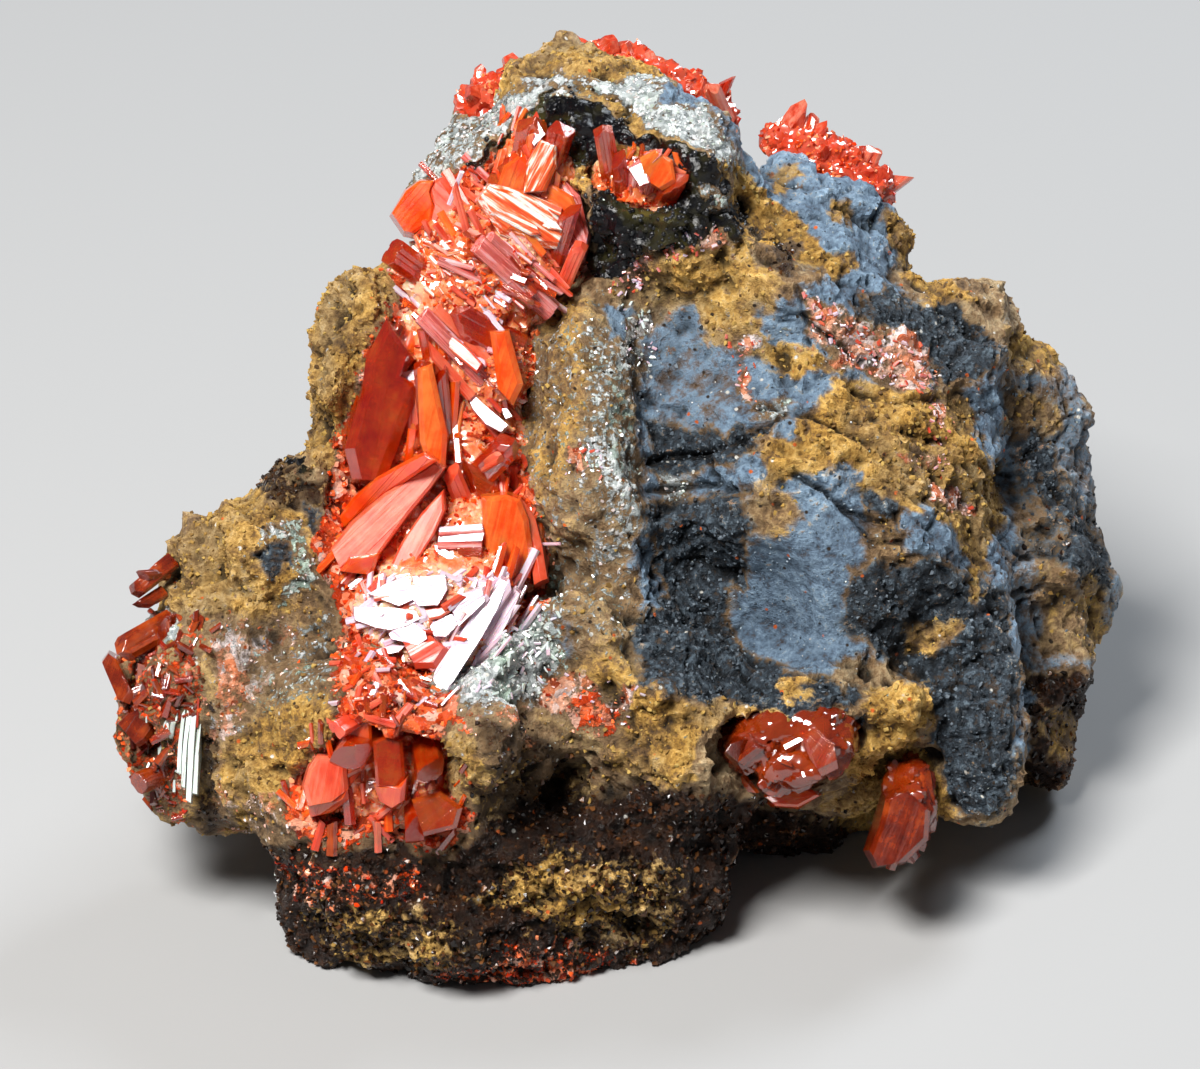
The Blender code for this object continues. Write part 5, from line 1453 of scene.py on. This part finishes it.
def crocoite_mass(group):
    """The lumps of massive crocoite of a group, fused, with a surface of broken grains."""
    finish, lumps = MASSES[group]
    work = bmesh.new()
    for middle, half, turn in lumps:
        made = bmesh.ops.create_icosphere(work, subdivisions=4, radius=1)["verts"]
        grown = Matrix.Diagonal([half[k] + MASS_GROWTH for k in (0, 2, 1)] + [1])
        turned = (FACE_TURN @ Matrix.Rotation(radians(-turn), 3, "Y")).to_4x4()
        bmesh.ops.transform(work, matrix=Matrix.Translation(on_face(middle)) @ turned @ grown, verts=made)
    mass = new_object(f"{NODES[group]}_mass", work)
    fuse(mass, MASS_VOXEL)
    mesh = mass.data
    edges = values_of(mesh.edges, "vertices", 2)
    points = points_of(mesh)
    outward = outward_of(mesh, edges, 4)
    height = 0.5 * pattern(points, 1.7, facets) + 0.2 * pattern(points, 2.5, rough) - 0.05
    if group in GLASSY:
        height += 0.35 * pattern(points, 1.2, facets) - 0.1
    else:
        height += 0.34 * pattern(points, 1.0, facets) + 0.22 * pattern(points, 0.5, facets) - 0.12
    points = off_floor(points + outward * height[:, None])
    move_points(mesh, points)
    # Pale patches: the tint runs to the palest shade and pale grit covers them, partly painted glare
    frayed = pixels_of(points) + 9.0 * pattern(points, 0.8, soft)[:, None]
    pale = np.max([inside(frayed, corners, 10) for corners in PALE_AND_GLARING], axis=0)
    facing = facing_of(points, outward_of(mesh, edges, 4))
    grit = step(facing, -0.2, 0.2) * (0.4 + 0.6 * step(pattern(points, 1.6, soft), -0.3, 0.3))
    keep_values(mesh, "tint", 0.5 + 0.5 * pattern(points, 1.1, soft) + 1.4 * pale)
    keep_values(mesh, "grit", grit * (1 - pale))
    keep_values(mesh, "pale", grit * pale)
    ease(mesh)
    mesh.materials.append(FINISHES[finish])
    return mass


# --- grains that cover a surface ------------------------------------------------------------------

def grain_shape(name, kind, dice):
    """A small closed shape, about 1 across, that stands on z = 0."""
    work = bmesh.new()
    if kind == "crumb":
        for _ in range(10):
            work.verts.new(random_direction(dice) * dice.uniform(0.42, 0.6))
        hull = bmesh.ops.convex_hull(work, input=work.verts)
        within = [item for item in hull["geom_interior"] if isinstance(item, bmesh.types.BMVert)]
        bmesh.ops.delete(work, geom=within)
    elif kind == "bead":
        bmesh.ops.create_icosphere(work, subdivisions=2, radius=0.5)
        bmesh.ops.scale(work, vec=(1, 1, dice.uniform(0.8, 1.1)), verts=work.verts)
    elif kind == "flake":
        sides = dice.choice((4, 5, 6))
        bmesh.ops.create_cone(work, cap_ends=True, segments=sides, radius1=0.5, radius2=0.42, depth=0.16)
        for v in work.verts:
            v.co += 0.1 * random_direction(dice)
    else:
        bmesh.ops.create_cone(work, cap_ends=True, segments=4, radius1=0.42, radius2=0.36, depth=1.3)
        bmesh.ops.scale(work, vec=(1, dice.uniform(0.4, 0.9), 1), verts=work.verts)
        for v in work.verts:
            if v.co.z > 0:
                v.co.z += 1.1 * v.co.x * dice.choice((-1, 1)) + dice.uniform(-0.1, 0.3)
    bmesh.ops.recalc_face_normals(work, faces=work.faces)
    return new_object(name, work)


def scatter_tree():
    """Stands copies of a collection's shapes on a host, as dense as one of its attributes says."""
    tree = bpy.data.node_groups.new("scatter", "GeometryNodeTree")
    tree.interface.new_socket("Geometry", in_out="OUTPUT", socket_type="NodeSocketGeometry")
    for name, kind in (("Host", "Object"), ("Shapes", "Collection"), ("Coat", "String"),
                       ("Density", "Float"), ("Apart", "Float"), ("Least", "Float"), ("Most", "Float"),
                       ("Lean", "Float"), ("Seed", "Int"), ("Finish", "Material")):
        tree.interface.new_socket(name, in_out="INPUT", socket_type=f"NodeSocket{kind}")
    given = tree.nodes.new("NodeGroupInput").outputs
    host = put(tree, "GeometryNodeObjectInfo", {"Object": given["Host"]})
    found = put(tree, "GeometryNodeInputNamedAttribute", {"Name": given["Coat"]}, data_type="FLOAT")
    amount = put(tree, "ShaderNodeMath", {0: found.outputs["Attribute"], 1: 2.0}, operation="POWER")
    points = put(tree, "GeometryNodeDistributePointsOnFaces",
                 {"Mesh": host.outputs["Geometry"], "Distance Min": given["Apart"], "Seed": given["Seed"],
                  "Density Max": given["Density"], "Density Factor": amount.outputs[0]},
                 distribute_method="POISSON")
    shapes = put(tree, "GeometryNodeCollectionInfo",
                 {"Collection": given["Shapes"], "Separate Children": True, "Reset Children": True})
    back = put(tree, "ShaderNodeMath", {0: given["Lean"], 1: -1.0}, operation="MULTIPLY")
    low = put(tree, "ShaderNodeCombineXYZ", {0: back.outputs[0], 1: back.outputs[0], 2: -pi})
    high = put(tree, "ShaderNodeCombineXYZ", {0: given["Lean"], 1: given["Lean"], 2: pi})
    spin = put(tree, "FunctionNodeRandomValue",
               {0: low.outputs[0], 1: high.outputs[0], "Seed": given["Seed"]}, data_type="FLOAT_VECTOR")
    spun = put(tree, "FunctionNodeEulerToRotation", {0: spin.outputs["Value"]})
    turned = put(tree, "FunctionNodeRotateRotation",
                 {0: points.outputs["Rotation"], 1: spun.outputs[0]}, rotation_space="LOCAL")
    size = put(tree, "FunctionNodeRandomValue",
               {2: given["Least"], 3: given["Most"], "Seed": SIZE_SEED}, data_type="FLOAT")
    stood = put(tree, "GeometryNodeInstanceOnPoints",
                {"Points": points.outputs["Points"], "Instance": shapes.outputs["Instances"],
                 "Pick Instance": True, "Rotation": turned.outputs[0], "Scale": size.outputs[1]})
    own = put(tree, "FunctionNodeRandomValue", {2: 0.0, 3: 1.0, "Seed": TINT_SEED}, data_type="FLOAT")
    tinted = put(tree, "GeometryNodeStoreNamedAttribute",
                 {"Geometry": stood.outputs[0], "Name": "tint", "Value": own.outputs[1]},
                 data_type="FLOAT", domain="INSTANCE")
    real = put(tree, "GeometryNodeRealizeInstances", {"Geometry": tinted.outputs[0]})
    coated = put(tree, "GeometryNodeSetMaterial",
                 {"Geometry": real.outputs[0], "Material": given["Finish"]})
    out = tree.nodes.new("NodeGroupOutput")
    tree.links.new(coated.outputs[0], out.inputs[0])
    return tree


def scattered(name, host, finish, kind, count, coat, density, apart, least, most, lean, seed):
    """A piece of small shapes that cover a host where a coat is thick."""
    dice = random.Random(seed)
    shapes = bpy.data.collections.new(f"{kind}_shapes")
    for k in range(count):
        shape = grain_shape(f"{kind}_{k}", kind, dice)
        bpy.context.scene.collection.objects.unlink(shape)
        shapes.objects.link(shape)
    piece = new_object(name, bmesh.new())
    modifier = piece.modifiers.new("scatter", "NODES")
    modifier.node_group = SCATTER
    given = {"Host": host, "Shapes": shapes, "Coat": coat, "Density": density, "Apart": apart,
             "Least": least, "Most": most, "Lean": lean, "Seed": seed, "Finish": finish}
    for item in SCATTER.interface.items_tree:
        if item.in_out == "INPUT":
            modifier[item.identifier] = given[item.name]
    settle(piece)
    for shape in list(shapes.objects):
        bpy.data.objects.remove(shape)
    bpy.data.collections.remove(shapes)
    move_points(piece.data, off_floor(points_of(piece.data)))
    if kind == "bead":
        piece.data.shade_smooth()
    else:
        piece.data.shade_flat()
    return piece


# --- finishes -------------------------------------------------------------------------------------

def put(tree, kind, inputs=None, **settings):
    """Adds a node. An input is set by its name or number, to a value or to another node's socket."""
    node = tree.nodes.new(kind)
    for name, value in settings.items():
        setattr(node, name, value)
    for key, value in (inputs or {}).items():
        if isinstance(value, bpy.types.NodeSocket):
            tree.links.new(value, node.inputs[key])
        else:
            node.inputs[key].default_value = value
    return node


def new_finish(name):
    """A material with a bare Principled shader: the material, its tree and the shader."""
    made = bpy.data.materials.new(name)
    made.use_nodes = True
    tree = made.node_tree
    return made, tree, tree.nodes["Principled BSDF"]


def blend(tree, factor, low, high, kind="MIX"):
    """Mixes two colours."""
    node = put(tree, "ShaderNodeMix", {0: factor, 6: low, 7: high}, data_type="RGBA", blend_type=kind)
    return node.outputs[2]


def sums(tree, kind, first, second, third=0.0):
    """A sum of two or three values."""
    return put(tree, "ShaderNodeMath", {0: first, 1: second, 2: third}, operation=kind).outputs[0]


def spread(tree, value, low, high, least=0.0, most=1.0):
    """Stretches a value's range from low..high to least..most, and clamps it."""
    return put(tree, "ShaderNodeMapRange", {0: value, 1: low, 2: high, 3: least, 4: most}).outputs[0]


def ramp(tree, value, *stops):
    """A colour ramp, by the place and colour of its stops."""
    node = put(tree, "ShaderNodeValToRGB", {0: value})
    items = node.color_ramp.elements
    while len(items) < len(stops):
        items.new(0.5)
    for item, (place, colour) in zip(items, stops):
        item.position = place
        item.color = (*colour, 1)
    return node.outputs[0]


def grained(tree, where, scale, detail, roughness):
    """Noise of a scale."""
    inputs = {"Vector": where, "Scale": scale, "Detail": detail, "Roughness": roughness}
    return put(tree, "ShaderNodeTexNoise", inputs).outputs["Fac"]


def attribute(tree, name, output="Fac"):
    """What a mesh holds under a name."""
    return put(tree, "ShaderNodeAttribute", attribute_name=name).outputs[output]


def bumped(tree, shader, height, strength, distance):
    """Roughens what the shader shows by a height."""
    bump = put(tree, "ShaderNodeBump", {"Height": height, "Strength": strength, "Distance": distance})
    tree.links.new(bump.outputs[0], shader.inputs["Normal"])


def noise_mix(tree, noises, shares):
    """The fine, the middle and the broad noise, added up by their shares."""
    fine, middle, broad = shares
    total = sums(tree, "MULTIPLY", noises["broad"], broad)
    total = sums(tree, "MULTIPLY_ADD", noises["middle"], middle, total)
    return sums(tree, "MULTIPLY_ADD", noises["fine"], fine, total)


def coat_amount(tree, name, noise_value, wander, edge):
    """How much of a coat shows: what the rock's mesh holds of it, frayed by a noise."""
    thick = sums(tree, "MULTIPLY", attribute(tree, name), COAT_SHARE)
    strayed = sums(tree, "MULTIPLY_ADD", sums(tree, "SUBTRACT", noise_value, 0.5), wander, thick)
    return spread(tree, strayed, 0.5 - edge, 0.5 + edge)


def coat_shades(tree, where, mottled, noises, cells, grain):
    """The colour of bare gossan and of each coat."""
    drives = {"soot": noises["fine"], "crocoite": grain["Color"], "blush": grain["Color"],
              "silver": cells["Color"], "pitch": noises["broad"]}
    shades = {name: ramp(tree, drives.get(name, mottled), *stops) for name, stops in SHADES.items()}
    drift = grained(tree, where, *DRIFT_NOISE)
    shades["ochre"] = blend(tree, spread(tree, drift, 0.43, 0.6), shades["ochre"], shades["tan"])
    for low, high, most, tone in SILVER_TONES:
        share = spread(tree, drift, low, high, 0.0, most)
        shades["silver"] = blend(tree, share, shades["silver"], tone, "MULTIPLY")
    return shades


def gossan_finish():
    """The rock: brown gossan under ochre, blue-grey plates, black crusts, crocoite stain and spangles."""
    made, tree, shader = new_finish("gossan")
    where = put(tree, "ShaderNodeTexCoord").outputs["Object"]
    noises = {name: grained(tree, where, *how) for name, how in GOSSAN_NOISES.items()}
    noises["ragged"] = noise_mix(tree, noises, RAGGED_SHARES)
    mottled = noise_mix(tree, noises, MOTTLED_SHARES)
    mottled = sums(tree, "MULTIPLY_ADD", sums(tree, "SUBTRACT", mottled, 0.5), 1.5, 0.5)
    cells, grain, spots = [put(tree, "ShaderNodeTexVoronoi", {"Vector": where, "Scale": scale}).outputs
                           for scale in (CELL_SCALE, GRAIN_SCALE, SPOT_SCALE)]
    amounts = {name: coat_amount(tree, name, noises[frayed_by], wander, edge)
               for name, frayed_by, wander, edge, _ in LAYERS}
    shades = coat_shades(tree, where, mottled, noises, cells, grain)
    *coats, topmost = [layer[0] for layer in LAYERS]
    colour = shades["bare"]
    for name in coats:
        colour = blend(tree, amounts[name], colour, shades[name])
    kind = put(tree, "ShaderNodeSeparateColor", {0: spots["Color"]}).outputs
    close = spread(tree, spots["Distance"], 0.30, 0.18)
    for channel, least, shade in FLECKS:
        fleck = sums(tree, "MULTIPLY", close, sums(tree, "GREATER_THAN", kind[channel], least))
        colour = blend(tree, fleck, colour, shade)
    # Painted shade: the colour darkens where the skin is hollow, as shade would fall there
    hollow = spread(tree, attribute(tree, "hollow"), 0.0, 0.26, 1.0, 0.14)
    colour = blend(tree, 1.0, colour, hollow, "MULTIPLY")
    # The colour brightens on the skin's convex points, by a fine noise
    convex_share = spread(tree, attribute(tree, "hollow"), -0.05, -0.3, 0.0, 1.0)
    colour = blend(tree, sums(tree, "MULTIPLY", convex_share, noises["fine"]), colour, CONVEX_GAIN, "MULTIPLY")
    colour = blend(tree, amounts[topmost], colour, shades[topmost])
    roughness = BARE_ROUGHNESS
    for name, *_, value in LAYERS:
        roughness = put(tree, "ShaderNodeMix", {0: amounts[name], 2: roughness, 3: value}).outputs[0]
    tree.links.new(colour, shader.inputs["Base Color"])
    tree.links.new(roughness, shader.inputs["Roughness"])
    shader.inputs["Specular IOR Level"].default_value = 0.3
    height = sums(tree, "MULTIPLY_ADD", noises["fine"], 1.0, sums(tree, "MULTIPLY", noises["middle"], 1.2))
    bright = sums(tree, "MAXIMUM", amounts["silver"], amounts["blush"])
    bright = sums(tree, "MAXIMUM", bright, amounts["crocoite"])
    height = sums(tree, "MULTIPLY_ADD", sums(tree, "MULTIPLY", cells["Color"], bright), 0.6, height)
    height = sums(tree, "MULTIPLY", height, spread(tree, amounts["pitch"], 0.0, 1.0, 1.0, 0.12))
    bumped(tree, shader, height, *GOSSAN_BUMP)
    return made


def grain_finish(name, rough_value, metal, shades):
    """Loose grains: each takes its own shade from a run of them."""
    made, tree, shader = new_finish(name)
    where = put(tree, "ShaderNodeTexCoord").outputs["Object"]
    fine = grained(tree, where, *GRAIN_NOISE)
    value = sums(tree, "MULTIPLY_ADD", sums(tree, "SUBTRACT", fine, 0.5), 0.5, attribute(tree, "tint"))
    stops = [(k / (len(shades) - 1), shade) for k, shade in enumerate(shades)]
    roughness = spread(tree, fine, 0.3, 0.7, rough_value, rough_value + 0.15)
    tree.links.new(ramp(tree, value, *stops), shader.inputs["Base Color"])
    tree.links.new(roughness, shader.inputs["Roughness"])
    shader.inputs["Metallic"].default_value = metal
    bumped(tree, shader, fine, *GRAIN_BUMP)
    return made


def crocoite_finish(name, clear, rough_value, glow, streaky, shine, reach, shades):
    """Crocoite: streaked along the grain of a crystal, or grained every way where it is massive."""
    made, tree, shader = new_finish(f"crocoite_{name}")
    if name == MASSIVE:
        where = put(tree, "ShaderNodeTexCoord").outputs["Object"]
        streaks, veils = [grained(tree, where, *how) for how in MASSIVE_NOISES]
    else:
        where = attribute(tree, "grain", "Vector")
        drawn = put(tree, "ShaderNodeMapping", {"Vector": where, "Scale": STREAK_STRETCH}).outputs[0]
        streaks, veils = [grained(tree, at, *how) for at, how in zip((drawn, where), CRYSTAL_NOISES)]
    mixed = sums(tree, "MULTIPLY_ADD", streaks, streaky, sums(tree, "MULTIPLY", veils, 1 - streaky))
    mixed = sums(tree, "MULTIPLY_ADD", attribute(tree, "tint"), TINT_SHARE, mixed)
    colour = ramp(tree, mixed, (0.55 - reach, shades[0]), (0.55, shades[1]), (0.55 + reach, shades[2]))
    roughness = spread(tree, streaks, 0.3, 0.7, rough_value, rough_value + 0.16)
    tree.links.new(colour, shader.inputs["Base Color"])
    tree.links.new(roughness, shader.inputs["Roughness"])
    for socket, value in (("IOR", CROCOITE_IOR), ("Specular IOR Level", shine),
                          ("Transmission Weight", clear), ("Subsurface Weight", glow),
                          ("Subsurface Radius", GLOW_RADIUS), ("Subsurface Scale", GLOW_REACH)):
        shader.inputs[socket].default_value = value
    bumped(tree, shader, streaks, *CROCOITE_BUMP)
    return made


# --- the studio -----------------------------------------------------------------------------------

def softbox(name, place, size, power, colour):
    """A square area light that faces the middle of the lump."""
    light = bpy.data.lights.new(name, "AREA")
    light.shape = "SQUARE"
    light.size = size
    light.energy = power
    light.color = colour
    obj = bpy.data.objects.new(name, light)
    bpy.context.scene.collection.objects.link(obj)
    obj.location = place
    aim = Vector((0, 0, FACE_HEIGHT * MM)) - Vector(place)
    obj.rotation_euler = aim.to_track_quat("-Z", "Y").to_euler()


def studio():
    """A pale floor, a dim sky and two soft lights."""
    work = bmesh.new()
    bmesh.ops.create_grid(work, x_segments=1, y_segments=1, size=FLOOR_REACH)
    floor = new_object("floor", work)
    made, _, shader = new_finish("pale_floor")
    shader.inputs["Base Color"].default_value = FLOOR_COLOUR
    shader.inputs["Roughness"].default_value = 0.9
    floor.data.materials.append(made)
    world = bpy.data.worlds.new("studio")
    world.use_nodes = True
    sky = world.node_tree.nodes["Background"]
    sky.inputs["Color"].default_value = SKY
    sky.inputs["Strength"].default_value = SKY_STRENGTH
    bpy.context.scene.world = world
    for light in LIGHTS:
        softbox(*light)
    bpy.context.scene.view_settings.view_transform = "Standard"


def camera():
    """Square on to the show face, so that a pixel is PIXEL millimetres of it."""
    data = bpy.data.cameras.new("camera")
    data.sensor_width = SENSOR
    data.lens = SENSOR * EYE / (FRAME_WIDTH * PIXEL)
    data.clip_start = 0.01
    obj = bpy.data.objects.new("camera", data)
    bpy.context.scene.collection.objects.link(obj)
    obj.location = on_face((0, 0, EYE)) * MM
    obj.rotation_euler = (pi / 2 - LEAN, 0, 0)
    bpy.context.scene.camera = obj


# --- all of it ------------------------------------------------------------------------------------

def place(piece, node, slot):
    """Scales a finished piece to metres, puts it on the root body and hides the node that it stands for."""
    piece.data.transform(Matrix.Scale(MM, 4))
    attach(piece, "root")
    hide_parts(node)


def dressed_group(number, group, rock_ground):
    """A group's pieces: its massive crocoite with the loose grains on it, and its single crystals."""
    node, grounds, made = NODES[group], [rock_ground], []
    if group in MASSES:
        mass = crocoite_mass(group)
        made.append(mass)
        bpy.context.view_layer.update()
        grounds.append(ground_of(mass))
        if group not in GLASSY:
            grain = GRAINS["garnet_red_grain" if group == "left" else "crocoite_grain"]
            for name, (*how, seed) in (("grit", GRIT), ("druse", DRUSE)):
                made.append(scattered(f"{node}_{name}", mass, grain, *how, seed + number))
            if group in PALE:
                made.append(scattered(f"{node}_pale_grit", mass, GRAINS["pearl_grain"], *PALE_GRIT))
    made.append(crystal_group(group, grounds))
    return made


noise.seed_set(NOISE_SEED)
camera()
studio()
FINISHES = {name: crocoite_finish(name, *how) for name, how in CROCOITE_FINISHES.items()}
GRAINS = {name: grain_finish(name, *how) for name, how in GRAIN_FINISHES.items()}
SCATTER = scatter_tree()
skin = rock_skin()
pieces = [(skin, "gossan_matrix")]
for name, kind, count, finish, *how in ON_ROCK:
    pieces.append((scattered(name, skin, GRAINS[finish], kind, count, *how), "gossan_matrix"))
rock_ground = ground_of(skin)
for number, group in enumerate(NODES):
    for piece in dressed_group(number, group, rock_ground):
        pieces.append((piece, NODES[group]))
for piece, node in pieces:
    place(piece, node, "gossan" if node == "gossan_matrix" else node)
